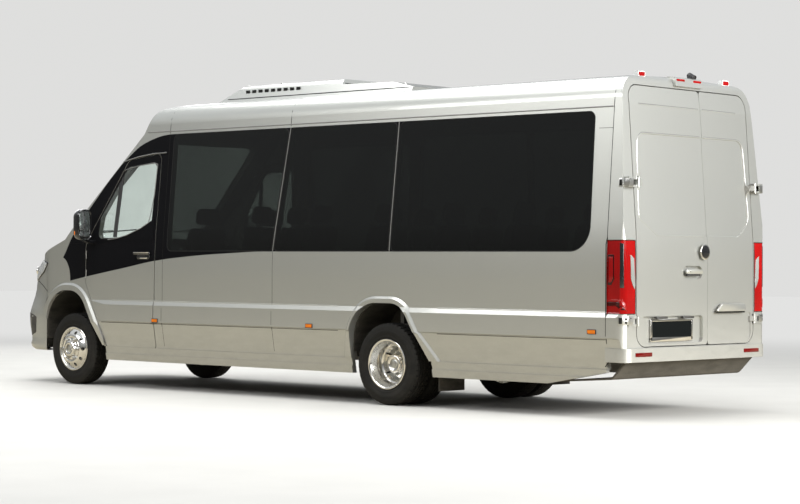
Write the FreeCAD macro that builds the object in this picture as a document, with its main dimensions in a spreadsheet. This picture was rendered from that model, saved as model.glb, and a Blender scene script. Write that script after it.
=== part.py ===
import FreeCAD, Part
import math
import os

import Sketcher

# A long-overhang minibus built on a panel van: steel body, cab doors and twin rear doors on
# hinges, a lifting bonnet, steered front wheels and twin rear wheels.
# Frame: +X forwards, +Y to the left, +Z up, origin on the ground under the middle of the
# bounding box. All sizes in millimetres.

V = FreeCAD.Vector
doc = FreeCAD.newDocument("minibus")
sheet = doc.addObject("Spreadsheet::Sheet", "sizes")

# Driving dimensions: name, value
SIZES = (
    ("overall_length", 7890),
    ("wheelbase", 4325),
    ("front_overhang", 1004),
    ("bumper_reach", 24),
    ("body_width", 2000),
    ("roof_height", 2752),
    ("roof_crown", 30),
    ("belt_height", 1330),
    ("crease_height", 845),
    ("crease_step", 13),
    ("lower_crease_height", 644),
    ("lower_crease_step", 10),
    ("arch_flare", 18),
    ("arch_flare_width", 105),
    ("roof_seam_height", 2470),
    ("sill_height", 395),
    ("skirt_height", 262),
    ("wall", 60),
    ("skirt_wall", 30),
    ("skirt_step", 10),
    ("bonnet_wall", 28),
    ("glass", 6),
    ("pressing_depth", 6),
    ("recess_depth", 28),
    ("door_gap", 8),
    ("seat_gap", 0.3),
    ("floor_top", 690),
    ("floor_thickness", 40),
    ("tyre_diameter", 710),
    ("tyre_width", 205),
    ("rim_diameter", 406),
    ("rim_wall", 7),
    ("track_front", 1705),
    ("twin_outer_face", 988),
    ("twin_pitch", 236),
    ("kingpin_y", 760),
    ("kingpin_radius", 18),
    ("bearing_clearance", 0.05),
    ("stub_radius", 30),
    ("stud_circle", 205),
    ("stud_hole", 22),
    ("rail_y", 420),
    ("rail_width", 66),
    ("rail_bottom", 500),
    ("hinge_pin_radius", 5),
    ("hinge_ring_radius", 12),
    ("hinge_ring_height", 44),
    ("hinge_lug_height", 18),
)
for row, (alias, value) in enumerate(SIZES, start=1):
    sheet.set("A%d" % row, alias)
    sheet.set("B%d" % row, str(value))
    sheet.setAlias("B%d" % row, alias)
doc.recompute()


def size(alias):
    """One driving dimension, read from the sheet."""
    return float(sheet.get(alias))


# Places worked out from the driving dimensions
FRONT = size("overall_length") / 2
REAR = -FRONT
REAR_PLANE = REAR + size("bumper_reach")
FRONT_AXLE = FRONT - size("front_overhang")
REAR_AXLE = FRONT_AXLE - size("wheelbase")
HALF = size("body_width") / 2
AXLE_Z = size("tyre_diameter") / 2
ROOF = size("roof_height")
BELT = size("belt_height")
SEAM = size("roof_seam_height")
SILL = size("sill_height")
WALL = size("wall")
GAP = size("door_gap")
SEAT = size("seat_gap")
FLOOR = size("floor_top")
FAR = HALF + 600
FRONT_FLARE_LEAN = 2.6
STUDS = 6
HAND_HOLE = 34
HAND_HOLE_CIRCLE = 288
FRONT_DISC = 45
TYRE_HALF = size("tyre_width") / 2
TWIN_OUTER = size("twin_outer_face") - TYRE_HALF
TWIN_INNER = TWIN_OUTER - size("twin_pitch")
TWIN_FACE = (TWIN_OUTER + TWIN_INNER) / 2
HOUSING_IN = TWIN_INNER - TYRE_HALF - 47


def unit(a, b):
    """Unit step from one outline point to another."""
    length = math.hypot(b[0] - a[0], b[1] - a[1])
    return (b[0] - a[0]) / length, (b[1] - a[1]) / length


def grown(corners, by):
    """An outline moved outwards by a distance, or inwards where that is negative."""
    area = sum(a[0] * b[1] - b[0] * a[1] for a, b in zip(corners, corners[1:] + corners[:1]))
    turn = 1 if area > 0 else -1
    moved = []
    for i, (x, y, radius) in enumerate(corners):
        before = unit(corners[i - 1], (x, y))
        after = unit((x, y), corners[(i + 1) % len(corners)])
        bend = before[0] * after[1] - before[1] * after[0]
        along = before[0] * after[0] + before[1] * after[1]
        shift = turn * by / (1 + along)
        moved_x = x + shift * (before[1] + after[1])
        moved_y = y - shift * (before[0] + after[0])
        step = by if bend * turn > 0 else -by
        moved.append((moved_x, moved_y, max(radius + step, 0) if radius else 0))
    return moved


def placed(point, view, depth):
    """A point of a side, front or plan view, at a depth across that view."""
    a, b = point
    if view == "side":
        return V(a, depth, b)
    if view == "front":
        return V(depth, a, b)
    return V(a, b, depth)


def outline(corners, view, depth):
    """Closed wire of lines and tangent arcs; each corner is (across, up, radius)."""
    count = len(corners)
    rounded = []
    for i, (x, y, radius) in enumerate(corners):
        back = unit((x, y), corners[i - 1])
        ahead = unit((x, y), corners[(i + 1) % count])
        if not radius:
            rounded.append(((x, y), None, (x, y)))
            continue
        half = math.acos(max(-1, min(1, back[0] * ahead[0] + back[1] * ahead[1]))) / 2
        run = radius / math.tan(half)
        middle = unit((0, 0), (back[0] + ahead[0], back[1] + ahead[1]))
        reach = radius / math.sin(half) - radius
        rounded.append((
            (x + back[0] * run, y + back[1] * run),
            (x + middle[0] * reach, y + middle[1] * reach),
            (x + ahead[0] * run, y + ahead[1] * run),
        ))
    edges = []
    for i, (start, middle, end) in enumerate(rounded):
        last = placed(rounded[i - 1][2], view, depth)
        first = placed(start, view, depth)
        if last.distanceToPoint(first) > 1e-4:
            edges.append(Part.LineSegment(last, first).toShape())
        if middle:
            arc = Part.Arc(first, placed(middle, view, depth), placed(end, view, depth))
            edges.append(arc.toShape())
    return Part.Wire(edges)


def prism(corners, view, low, high):
    """Solid of an outline drawn in one view, between two depths across it."""
    face = Part.Face(outline(corners, view, low))
    return face.extrude(placed((0, 0), view, high - low))


def block(x0, x1, y0, y1, z0, z1):
    """Box between two corners."""
    return Part.makeBox(x1 - x0, y1 - y0, z1 - z0, V(x0, y0, z0))


def rod(x, y, z, radius, length, direction):
    """Cylinder from a point along a direction."""
    return Part.makeCylinder(radius, length, V(x, y, z), direction)


def fused(shapes):
    """One shape of several that touch."""
    whole = shapes[0]
    for shape in shapes[1:]:
        whole = whole.fuse(shape)
    return whole.removeSplitter()


def both_sides(shape):
    """A left piece with its mirror image on the right."""
    return Part.makeCompound([shape, mirrored(shape)])


def mirrored(shape):
    """The right-hand copy of a left-hand shape."""
    return shape.mirror(V(0, 0, 0), V(0, 1, 0))


def solids_only(shape):
    """A shape's solids without the shells and faces that a boolean may leave."""
    kept = [solid for solid in shape.Solids if solid.Volume > 1000]
    return kept[0] if len(kept) == 1 else Part.makeCompound(kept)


# The body's outer form: a cross-section, a plan, and what the front and rear profiles cut away.
# Each row of an outline is (across, up, corner radius).
CREASE = size("crease_height")
LOWER_CREASE = size("lower_crease_height")
WAIST = HALF - size("crease_step")
LOWER_SIDE = HALF - size("lower_crease_step")
SECTION_HALF = [
    (HALF - 120, 0, 0),
    (LOWER_SIDE, LOWER_CREASE - size("lower_crease_step"), 0),
    (HALF, LOWER_CREASE, 0),
    (HALF, CREASE - 40, 0),
    (WAIST, CREASE, 0),
    (WAIST + 3, BELT, 5000),
    (HALF - 124, ROOF - size("roof_crown"), 200),
]
SECTION = (
    SECTION_HALF
    + [(0, ROOF, 9000)]
    + [(-y, z, radius) for y, z, radius in reversed(SECTION_HALF)]
)
PLAN_HALF = [
    (REAR_PLANE, HALF, 75),
    (REAR_PLANE + 240, HALF, 0),
    (REAR_PLANE + 440, HALF + 12, 0),
    (FRONT_AXLE - 785, HALF + 12, 3000),
    (FRONT_AXLE + 480, HALF - 50, 450),
    (FRONT_AXLE + 1100, HALF - 560, 0),
]
PLAN = PLAN_HALF + [(x, -y, radius) for x, y, radius in reversed(PLAN_HALF)]
NOSE_CENTRE = FRONT_AXLE - 3341
NOSE_SWEEP = 50
SCREEN_FOOT = (FRONT_AXLE + 259, BELT + 110)
FRONT_CUT = [
    (FRONT_AXLE - 1941, ROOF + 18, 0),
    (FRONT_AXLE - 981, ROOF - 52, 220),
    (FRONT_AXLE - 836, ROOF - 297, 150),
    SCREEN_FOOT + (0,),
    (FRONT - 190, BELT - 95, 110),
    (FRONT - 50, 800, 0),
    (FRONT, 745, 30),
    (FRONT, 430, 70),
    (FRONT - 60, 200, 0),
    (FRONT - 60, -200, 0),
    (FRONT + 600, -200, 0),
    (FRONT + 600, ROOF + 400, 0),
    (FRONT_AXLE - 1941, ROOF + 400, 0),
]
DOOR_CREASE = ROOF - 258
REAR_FACE = REAR_PLANE + 1
REAR_CUT = [
    (REAR_PLANE - 300, -200, 0),
    (REAR_FACE, -200, 0),
    (REAR_FACE, BELT + 30, 3500),
    (REAR_PLANE + 85, DOOR_CREASE, 0),
    (REAR_PLANE + 120, ROOF - 10, 70),
    (REAR_PLANE + 500, ROOF + 12, 0),
    (REAR_PLANE + 500, ROOF + 400, 0),
    (REAR_PLANE - 300, ROOF + 400, 0),
]


def envelope(inset):
    """The closed outer form of the body, moved inwards by a wall."""
    form = prism(grown(SECTION, -inset), "front", REAR - 100, FRONT + 200)
    form = form.common(prism(grown(PLAN, -inset), "plan", -100, ROOF + 200))
    cut = Part.Face(outline(grown(FRONT_CUT, inset), "side", 0))
    cut.rotate(V(NOSE_CENTRE, 0, 0), V(0, 0, 1), -NOSE_SWEEP)
    form = form.cut(cut.revolve(V(NOSE_CENTRE, 0, 0), V(0, 0, 1), 2 * NOSE_SWEEP))
    return form.cut(prism(grown(REAR_CUT, inset), "side", -FAR, FAR))


OUTER = envelope(0)
INNER = envelope(WALL)
SHELL = OUTER.cut(INNER)
GLASS_SKIN = OUTER.cut(envelope(size("glass")))
BONNET_SKIN = OUTER.cut(envelope(size("bonnet_wall")))
PRESSED_SKIN = OUTER.cut(envelope(size("pressing_depth")))
RECESS_SKIN = OUTER.cut(envelope(size("recess_depth")))
FLARE_SKIN = envelope(-size("arch_flare")).cut(INNER)

# Side-view outlines on the left-hand side: (x, z, corner radius)
B_SEAM = FRONT_AXLE - 1385
D_SEAM = REAR_PLANE + 186
CAB_DOOR = [
    (FRONT_AXLE - 1256, SILL, 30),
    (FRONT_AXLE - 513, SILL, 30),
    (FRONT_AXLE - 495, 470, 60),
    (FRONT_AXLE - 409, 679, 0),
    (FRONT_AXLE - 231, 1010, 60),
    (FRONT_AXLE - 231, BELT + 65, 60),
    (FRONT_AXLE - 806, SEAM - 265, 90),
    (FRONT_AXLE - 1281, SEAM - 208, 60),
]
CAB_WINDOW = [
    (FRONT_AXLE - 1195, BELT + 170, 70),
    (FRONT_AXLE - 700, BELT + 125, 0),
    (FRONT_AXLE - 400, BELT + 110, 60),
    (FRONT_AXLE - 432, BELT + 330, 60),
    (FRONT_AXLE - 800, SEAM - 325, 70),
    (FRONT_AXLE - 1232, SEAM - 290, 60),
]
FRONT_ARCH = [
    (FRONT_AXLE + 437, -50, 0),
    (FRONT_AXLE + 437, 935, 350),
    (FRONT_AXLE - 141, 935, 300),
    (FRONT_AXLE - 491, 380, 100),
    (FRONT_AXLE - 500, -50, 0),
]
REAR_ARCH = [
    (REAR_AXLE + 440, -50, 0),
    (REAR_AXLE + 440, 880, 320),
    (REAR_AXLE - 180, 880, 240),
    (REAR_AXLE - 500, 360, 80),
    (REAR_AXLE - 510, -50, 0),
]
WINDOW_BOTTOM = BELT - 5
WINDOW_TOP = SEAM - 30
REAR_WINDOW = [
    (REAR_AXLE - 40, WINDOW_BOTTOM, 40),
    (REAR_AXLE - 70, WINDOW_TOP, 60),
    (REAR_PLANE + 350, WINDOW_TOP, 60),
    (REAR_PLANE + 336, WINDOW_BOTTOM, 200),
]
MIDDLE_WINDOW = [
    (FRONT_AXLE - 2915, WINDOW_BOTTOM, 40),
    (FRONT_AXLE - 3055, WINDOW_TOP, 60),
    (REAR_AXLE - 40, WINDOW_TOP, 60),
    (REAR_AXLE - 10, WINDOW_BOTTOM, 40),
]
FRONT_WINDOW = [
    (B_SEAM - 60, WINDOW_BOTTOM, 60),
    (B_SEAM - 60, WINDOW_TOP, 60),
    (FRONT_AXLE - 3025, WINDOW_TOP, 60),
    (FRONT_AXLE - 2885, WINDOW_BOTTOM, 40),
]
SLIDING_DOOR = [
    (B_SEAM - 8, SILL, 30),
    (B_SEAM - 8, WINDOW_TOP + 20, 60),
    (FRONT_AXLE - 2990, WINDOW_TOP + 20, 60),
    (FRONT_AXLE - 2880, WINDOW_BOTTOM, 600),
    (FRONT_AXLE - 2880, SILL, 30),
]
SLIDING_WINDOW = [
    (B_SEAM - 90, WINDOW_BOTTOM + 40, 60),
    (B_SEAM - 90, WINDOW_TOP - 60, 60),
    (FRONT_AXLE - 2900, WINDOW_TOP - 60, 60),
    (FRONT_AXLE - 2800, WINDOW_BOTTOM + 40, 60),
]

# Front-view outlines: (y, z, corner radius)
SCREEN = [
    (-HALF + 190, SCREEN_FOOT[1] + 22, 60),
    (HALF - 190, SCREEN_FOOT[1] + 22, 60),
    (HALF - 330, SEAM - 75, 90),
    (-HALF + 330, SEAM - 75, 90),
]
BONNET = [
    (-HALF + 270, BELT + 270, 0),
    (-HALF + 330, BELT - 180, 60),
    (HALF - 330, BELT - 180, 60),
    (HALF - 270, BELT + 270, 0),
]
GRILLE = [
    (-HALF + 495, 812, 60),
    (HALF - 495, 812, 60),
    (HALF - 390, 1142, 0),
    (-HALF + 390, 1142, 0),
]
HEADLAMP = [
    (HALF - 490, 900, 40),
    (HALF - 250, 850, 60),
    (HALF + 40, 1010, 0),
    (HALF + 40, 1205, 0),
    (HALF - 320, 1205, 60),
    (HALF - 420, 1120, 40),
]
LEFT_DOOR_EDGE = -150
REAR_DOOR_LIP = 25
REAR_DOOR_REBATE = 26
REAR_DOOR_TOP = ROOF - 106
REAR_DOOR_BOTTOM = 575
REAR_DOOR_HALF = HALF - 190
LAMP_BOTTOM = CREASE - 13
LAMP_TOP = BELT + 85
REAR_BLANK = [
    (REAR_DOOR_HALF - 270, BELT + 125, 120),
    (REAR_DOOR_HALF - 45, BELT + 270, 120),
    (REAR_DOOR_HALF - 75, ROOF - 485, 110),
    (-REAR_DOOR_HALF + 75, ROOF - 485, 110),
    (-REAR_DOOR_HALF + 45, BELT + 270, 120),
    (-REAR_DOOR_HALF + 200, BELT + 125, 120),
]
PLATE_RECESS = [
    (LEFT_DOOR_EDGE + 65, REAR_DOOR_BOTTOM + 20, 40),
    (REAR_DOOR_HALF - 90, REAR_DOOR_BOTTOM + 20, 60),
    (REAR_DOOR_HALF - 70, LAMP_BOTTOM - 20, 30),
    (LEFT_DOOR_EDGE + 65, LAMP_BOTTOM - 20, 30),
]
STEP_RECESS = [
    (LEFT_DOOR_EDGE - 62, REAR_DOOR_BOTTOM + 20, 40),
    (-REAR_DOOR_HALF + 35, REAR_DOOR_BOTTOM + 20, 60),
    (-REAR_DOOR_HALF + 35, LAMP_BOTTOM, 30),
    (LEFT_DOOR_EDGE - 62, LAMP_BOTTOM, 30),
]
HANDLE_RECESS = [
    (LEFT_DOOR_EDGE + 75, BELT - 224, 50),
    (LEFT_DOOR_EDGE + 340, BELT - 224, 50),
    (LEFT_DOOR_EDGE + 340, BELT - 116, 50),
    (LEFT_DOOR_EDGE + 75, BELT - 116, 50),
]


def rear_door_outline(inner, outer):
    """One rear door, between its free edge and its hinge edge."""
    return [
        (inner, REAR_DOOR_BOTTOM, 25),
        (outer, REAR_DOOR_BOTTOM, 110),
        (outer, REAR_DOOR_TOP, 110),
        (inner, REAR_DOOR_TOP, 25),
    ]


parts = {}
probe = doc.addObject("App::FeaturePython", "probe")
probe.addProperty("App::PropertyFloat", "Value")


def keep(name, shape):
    """Adds a sub-part that Part's own functions shaped."""
    part = doc.addObject("Part::Feature", name)
    part.Label = name
    part.Shape = solids_only(shape)
    parts[name] = part
    return part


def hinge(door, frame, centre, up, to_door, inward, starts, strap=0, sink=3):
    """Barrel hinges on one axis: rings join the door; lugs and pins join the frame.
    A strap reaches that far over the frame's face and half as far over the door's,
    and the leaves sink into the wall by that many ring radii."""
    pin_radius = size("hinge_pin_radius")
    ring_radius = size("hinge_ring_radius")
    ring = size("hinge_ring_height")
    lug = size("hinge_lug_height")
    clear = size("bearing_clearance")
    space = 0.5
    notch = ring_radius + 5

    def leaf(side, low, height, reach):
        corner = centre + up * low + side * (pin_radius + 1)
        step = side * max(2 * ring_radius, reach)
        depth = inward * (sink * ring_radius)
        face = Part.Face(Part.makePolygon([corner, corner + step, corner + step + depth,
                                           corner + depth, corner]))
        knuckle = Part.makeCylinder(ring_radius, height, centre + up * low, up)
        return face.extrude(up * height).fuse(knuckle)

    for start in starts:
        levels = ((start, lug), (start + lug + ring, lug))
        low = centre + up * (start + lug)
        for level, height in levels:
            door = door.cut(Part.makeCylinder(notch, height + 2 * space,
                                              centre + up * (level - space), up))
            frame = frame.fuse(leaf(to_door * -1, level, height, strap))
        frame = frame.cut(Part.makeCylinder(notch, ring, low, up))
        frame = frame.fuse(Part.makeCylinder(pin_radius, ring + lug, low - up * (lug / 2), up))
        door = door.fuse(leaf(to_door, start + lug + space, ring - 2 * space, strap / 2))
        door = door.cut(Part.makeCylinder(pin_radius + clear, ring, low, up))
    return door, frame


def left_region(corners, grow=0):
    """A side-view outline as a prism over the left half."""
    return prism(grown(corners, grow), "side", 300, FAR)


def arch_flare(arch, lean=0):
    """The raised lip round a wheel arch: a ruled loft that narrows outwards, kept within
    the body's form moved out by the flare, and turned to follow the plan's sweep."""
    width = size("arch_flare_width")
    flare = size("arch_flare")
    wide = outline(grown(arch, width), "side", HALF - 3 * flare)
    slim = outline(grown(arch, width / 5), "side", HALF + flare)
    lip = Part.makeLoft([wide, slim], True, True)
    lip.rotate(V(FRONT_AXLE, HALF, 0), V(0, 0, 1), -lean)
    return FLARE_SKIN.common(lip)


def make_side_walls():
    """The left wall and the right one, each with its window frames."""
    area = block(D_SEAM + SEAT, B_SEAM - SEAT, 300, FAR, SILL + SEAT, SEAM)
    wall = SHELL.common(area).fuse(arch_flare(REAR_ARCH).common(area))
    wall = wall.cut(left_region(REAR_ARCH))
    for window in (REAR_WINDOW, MIDDLE_WINDOW):
        wall = wall.cut(left_region(window, SEAT))
    left = wall.cut(left_region(FRONT_WINDOW, SEAT))
    right = wall.cut(left_region(SLIDING_DOOR, SEAT))
    keep("side_wall_left", left)
    keep("side_wall_right", mirrored(right))
    door = SHELL.common(left_region(SLIDING_DOOR)).cut(left_region(SLIDING_WINDOW, SEAT))
    keep("sliding_door", mirrored(door))
    panes = [GLASS_SKIN.common(left_region(w)) for w in (REAR_WINDOW, MIDDLE_WINDOW)]
    front = GLASS_SKIN.common(left_region(FRONT_WINDOW))
    slider = GLASS_SKIN.common(left_region(SLIDING_WINDOW))
    keep("side_glass_left", Part.makeCompound(panes + [front]))
    keep("side_glass_right", Part.makeCompound([mirrored(p) for p in panes + [slider]]))


def make_roof():
    """The roof panel, from the rear frame to the windscreen's head."""
    area = block(D_SEAM + SEAT, FRONT, -FAR, FAR, SEAM + SEAT, ROOF + 50)
    keep("roof_panel", SHELL.common(area))


def make_cab():
    """Cab frame, windscreen, front wings, bonnet, grille, headlamps and front bumper."""
    cab_door = left_region(CAB_DOOR)
    door_opening = left_region(CAB_DOOR, GAP)
    screen = prism(SCREEN, "front", FRONT_AXLE - 1100, FRONT)
    screen_hole = prism(grown(SCREEN, SEAT), "front", FRONT_AXLE - 1100, FRONT)
    bonnet_start = SCREEN_FOOT[0] + 4
    wing_top = SCREEN_FOOT[1] - 40
    bumper_top = BELT - 290
    lamp_back = FRONT - 505

    bonnet_area = prism(BONNET, "front", bonnet_start + GAP, FRONT + 50)
    bonnet_hole = prism(grown(BONNET, GAP), "front", bonnet_start, FRONT + 50)
    grille_area = prism(GRILLE, "front", FRONT - 400, FRONT + 50)
    grille_hole = prism(grown(GRILLE, SEAT), "front", FRONT - 400, FRONT + 50)
    lamp_side = [
        (lamp_back, BELT - 30, 0),
        (lamp_back, BELT - 125, 0),
        (FRONT - 360, bumper_top - 10, 0),
        (FRONT - 330, bumper_top - 240, 0),
        (FRONT + 100, bumper_top - 240, 0),
        (FRONT + 100, BELT - 30, 0),
    ]
    lamp_depth = (lamp_back - 95, FRONT + 50)
    lamp_area = prism(HEADLAMP, "front", *lamp_depth).common(left_region(lamp_side))
    lamp_hole = SHELL.common(prism(grown(HEADLAMP, SEAT), "front", *lamp_depth))
    lamp_hole = lamp_hole.common(left_region(lamp_side, SEAT))
    bumper_side = [
        (FRONT_AXLE + 432, 250, 0),
        (FRONT_AXLE + 432, 740, 0),
        (FRONT_AXLE + 465, 813, 0),
        (FRONT_AXLE + 575, 1008, 0),
        (FRONT_AXLE + 660, bumper_top, 0),
        (FRONT + 100, bumper_top, 0),
        (FRONT + 100, 250, 0),
    ]
    bumper_area = prism(bumper_side, "side", -FAR, FAR)
    bumper_hole = prism(grown(bumper_side, SEAT), "side", -FAR, FAR)

    arch = left_region(FRONT_ARCH)
    openings = [door_opening, mirrored(door_opening), screen_hole]
    frame = SHELL.common(block(B_SEAM, bonnet_start, -FAR, FAR, SILL + SEAT, SEAM))
    for opening in openings:
        frame = frame.cut(opening)
    nose = block(FRONT_AXLE - 600, bonnet_start + 1, -FAR, FAR, 0, wing_top)
    frame = frame.cut(nose.fuse(block(FRONT_AXLE - 1240, FRONT, -FAR, FAR, 0, wing_top - 400)))

    wing_in = HALF - 440
    low = block(FRONT_AXLE - 600, FRONT, wing_in, FAR, SILL + SEAT, wing_top - SEAT)
    high = block(bonnet_start + SEAT, FRONT, wing_in, FAR, wing_top - SEAT, wing_top + 200)
    wing = SHELL.common(low).fuse(arch_flare(FRONT_ARCH, FRONT_FLARE_LEAN).common(low))
    wing = wing.fuse(SHELL.common(high))
    for opening in (door_opening, bonnet_hole, lamp_hole, grille_hole, bumper_hole, arch):
        wing = wing.cut(opening)

    door = SHELL.common(cab_door).cut(left_region(CAB_WINDOW, SEAT))
    axis_x = FRONT_AXLE - 231 + GAP / 2
    axis = V(axis_x, WAIST - 1, 0)
    door, wing = hinge(door, wing, axis, V(0, 0, 1), V(-1, 0, 0), V(0, -1, 0),
                       (BELT - 270, BELT - 80))

    bonnet = BONNET_SKIN.common(bonnet_area).cut(grille_hole)
    for hole in (lamp_hole, mirrored(lamp_hole)):
        bonnet = bonnet.cut(hole)
    bonnet_axis = V(bonnet_start + GAP / 2, 0, SCREEN_FOOT[1] + 4)
    bonnet, frame = hinge(bonnet, frame, bonnet_axis, V(0, 1, 0), V(1, 0, 0), V(0, 0, -1),
                          (-HALF + 460, HALF - 540))

    bumper = SHELL.common(bumper_area).cut(grille_hole)
    for hole in (lamp_hole, mirrored(lamp_hole), arch, mirrored(arch), bonnet_hole):
        bumper = bumper.cut(hole)

    keep("cab_frame", frame)
    keep("front_wings", both_sides(solids_only(wing)))
    keep("driver_door", door)
    keep("passenger_door", mirrored(solids_only(door)))
    window = GLASS_SKIN.common(left_region(CAB_WINDOW))
    keep("driver_door_glass", window)
    keep("passenger_door_glass", mirrored(window))
    keep("windscreen", GLASS_SKIN.common(screen))
    keep("bonnet", bonnet)
    grille = SHELL.common(grille_area).cut(lamp_hole).cut(mirrored(lamp_hole))
    keep("grille", slatted(grille))
    keep("headlamps", both_sides(SHELL.common(lamp_area)))
    keep("front_bumper", bumper)


def slatted(grille):
    """The grille with slots between its slats, to half its depth so that a back remains."""
    pitch = 66
    slot = 34
    reach = HALF - 540
    face = BONNET_SKIN
    for i in range(4):
        low = GRILLE[0][1] + 44 + pitch * i
        half = reach + 18 * i
        opening = prism([
            (-half, low, 10), (half, low, 10), (half, low + slot, 10), (-half, low + slot, 10),
        ], "front", FRONT - 400, FRONT + 50)
        grille = grille.cut(face.common(opening))
    return grille


def make_rear():
    """Rear frame, hinged rear doors, tail lamps, rear bumper and valance."""
    left_outline = rear_door_outline(LEFT_DOOR_EDGE + GAP / 2, REAR_DOOR_HALF)
    right_outline = rear_door_outline(LEFT_DOOR_EDGE - GAP / 2, -REAR_DOOR_HALF)
    both_outline = [
        (-REAR_DOOR_HALF, REAR_DOOR_BOTTOM, 110),
        (REAR_DOOR_HALF, REAR_DOOR_BOTTOM, 110),
        (REAR_DOOR_HALF, REAR_DOOR_TOP, 110),
        (-REAR_DOOR_HALF, REAR_DOOR_TOP, 110),
    ]
    depth = (REAR - 100, REAR_PLANE + 3 * WALL)
    rear_wall = SHELL.common(prism(grown(REAR_CUT, WALL + 5), "side", -FAR, FAR))
    left = rear_wall.common(prism(left_outline, "front", *depth))
    right = rear_wall.common(prism(right_outline, "front", *depth))
    rebate = block(REAR - 100, REAR_PLANE + 4 * WALL, LEFT_DOOR_EDGE - REAR_DOOR_REBATE,
                   LEFT_DOOR_EDGE + REAR_DOOR_REBATE, REAR_DOOR_BOTTOM - GAP, ROOF)
    rebate = rebate.cut(prism(grown(REAR_CUT, REAR_DOOR_LIP), "side", -FAR, FAR))
    left = left.cut(rebate)
    right = right.cut(rebate)
    blank = PRESSED_SKIN.common(prism(REAR_BLANK, "front", *depth))
    left = left.cut(blank)
    right = right.cut(blank)
    plate_recess = RECESS_SKIN.common(prism(PLATE_RECESS, "front", *depth))
    left = left.cut(plate_recess)
    left = left.cut(RECESS_SKIN.common(prism(HANDLE_RECESS, "front", *depth)))
    right = right.cut(PRESSED_SKIN.common(prism(STEP_RECESS, "front", *depth)))
    bumper_low = SILL + 60
    bumper_high = REAR_DOOR_BOTTOM - 13
    frame = SHELL.common(block(REAR - 100, D_SEAM, -FAR, FAR, bumper_low - 3, ROOF + 50))
    doorway = prism(grown(REAR_CUT, WALL + 5 + GAP), "side", -FAR, FAR)
    frame = frame.cut(doorway.common(prism(grown(both_outline, GAP), "front", *depth)))

    lamp_end = REAR_PLANE + 164
    lamp_in = REAR_DOOR_HALF + GAP + 7
    lamp = block(REAR - 100, lamp_end, lamp_in, FAR, LAMP_BOTTOM, LAMP_TOP)
    lamp_hole = block(REAR - 100, lamp_end + SEAT, lamp_in - SEAT, FAR,
                      LAMP_BOTTOM - SEAT, LAMP_TOP + SEAT)
    frame = frame.cut(lamp_hole).cut(mirrored(lamp_hole))
    keep("tail_lamps", both_sides(SHELL.common(lamp)))

    bumper_plan = [
        (REAR, HALF - 10, 90),
        (D_SEAM - 10, HALF - 10, 0),
        (D_SEAM - 10, -HALF + 10, 0),
        (REAR, -HALF + 10, 90),
    ]
    inner_plan = [
        (REAR_PLANE - SEAT, HALF - 70, 70),
        (REAR_PLANE + 200, HALF - 70, 0),
        (REAR_PLANE + 200, -HALF + 70, 0),
        (REAR_PLANE - SEAT, -HALF + 70, 70),
    ]
    beyond = (bumper_low - 50, bumper_high + 50)
    bumper = prism(bumper_plan, "plan", bumper_low, bumper_high)
    bumper = bumper.cut(prism(inner_plan, "plan", *beyond))
    hole = prism(grown(bumper_plan, SEAT), "plan", bumper_low - SEAT, bumper_high + SEAT)
    frame = frame.cut(hole.cut(prism(grown(inner_plan, -SEAT), "plan", *beyond)))
    keep("rear_bumper", bumper)

    skirt = size("skirt_height")
    sheet_metal = 14
    top = bumper_low - 3 - SEAT
    valance = [
        (REAR_PLANE + 47, top, 0),
        (REAR_PLANE + 185, skirt + 50, 60),
        (REAR_PLANE + 735, skirt + 12, 0),
        (REAR_PLANE + 735, skirt + 12 + sheet_metal, 0),
        (REAR_PLANE + 193, skirt + 50 + sheet_metal, 46),
        (REAR_PLANE + 75, top, 0),
    ]
    half = HALF - 120
    keep("rear_valance", prism(valance, "side", -half, half))

    up = V(0, 0, 1)
    starts = (LAMP_BOTTOM - 96, BELT + 500)
    proud = 10
    axis = V(REAR_PLANE - proud, REAR_DOOR_HALF + GAP / 2, 0)
    other = V(REAR_PLANE - proud, -REAR_DOOR_HALF - GAP / 2, 0)
    strap = 110
    left, frame = hinge(left, frame, axis, up, V(0, -1, 0), V(1, 0, 0), starts, strap, 5)
    right, frame = hinge(right, frame, other, up, V(0, 1, 0), V(1, 0, 0), starts, strap, 5)
    keep("rear_frame", frame)
    keep("rear_door_left", left)
    keep("rear_door_right", right)


def make_skirts():
    """Skirt panels below the sills, in front of and behind the rear wheels, in two steps
    that stand out from the wall, the rear one rising to the bumper."""
    low = size("skirt_height")
    middle = (low + SILL) / 2
    step = size("skirt_step")
    tail = left_region([
        (D_SEAM - 100, low - 100, 0),
        (REAR_PLANE + 787, low - 100, 0),
        (REAR_PLANE + 787, low, 0),
        (D_SEAM, SILL - 25, 0),
        (D_SEAM - 100, SILL - 25, 0),
    ])
    runs = ((FRONT_AXLE - 513, REAR_AXLE + 420), (REAR_AXLE - 495, D_SEAM))
    tiers = ((middle, SILL, step), (low, middle, 2 * step))
    skins = [envelope(-out).cut(envelope(size("skirt_wall"))) for _, _, out in tiers]
    pieces = []
    for ahead, behind in runs:
        piece = fused([
            skin.common(block(behind, ahead, 300, FAR, bottom, top))
            for skin, (bottom, top, _) in zip(skins, tiers)
        ])
        pieces.append(solids_only(piece.cut(left_region(REAR_ARCH)).cut(tail)))
    keep("side_skirts", both_sides(Part.makeCompound(pieces)))


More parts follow.
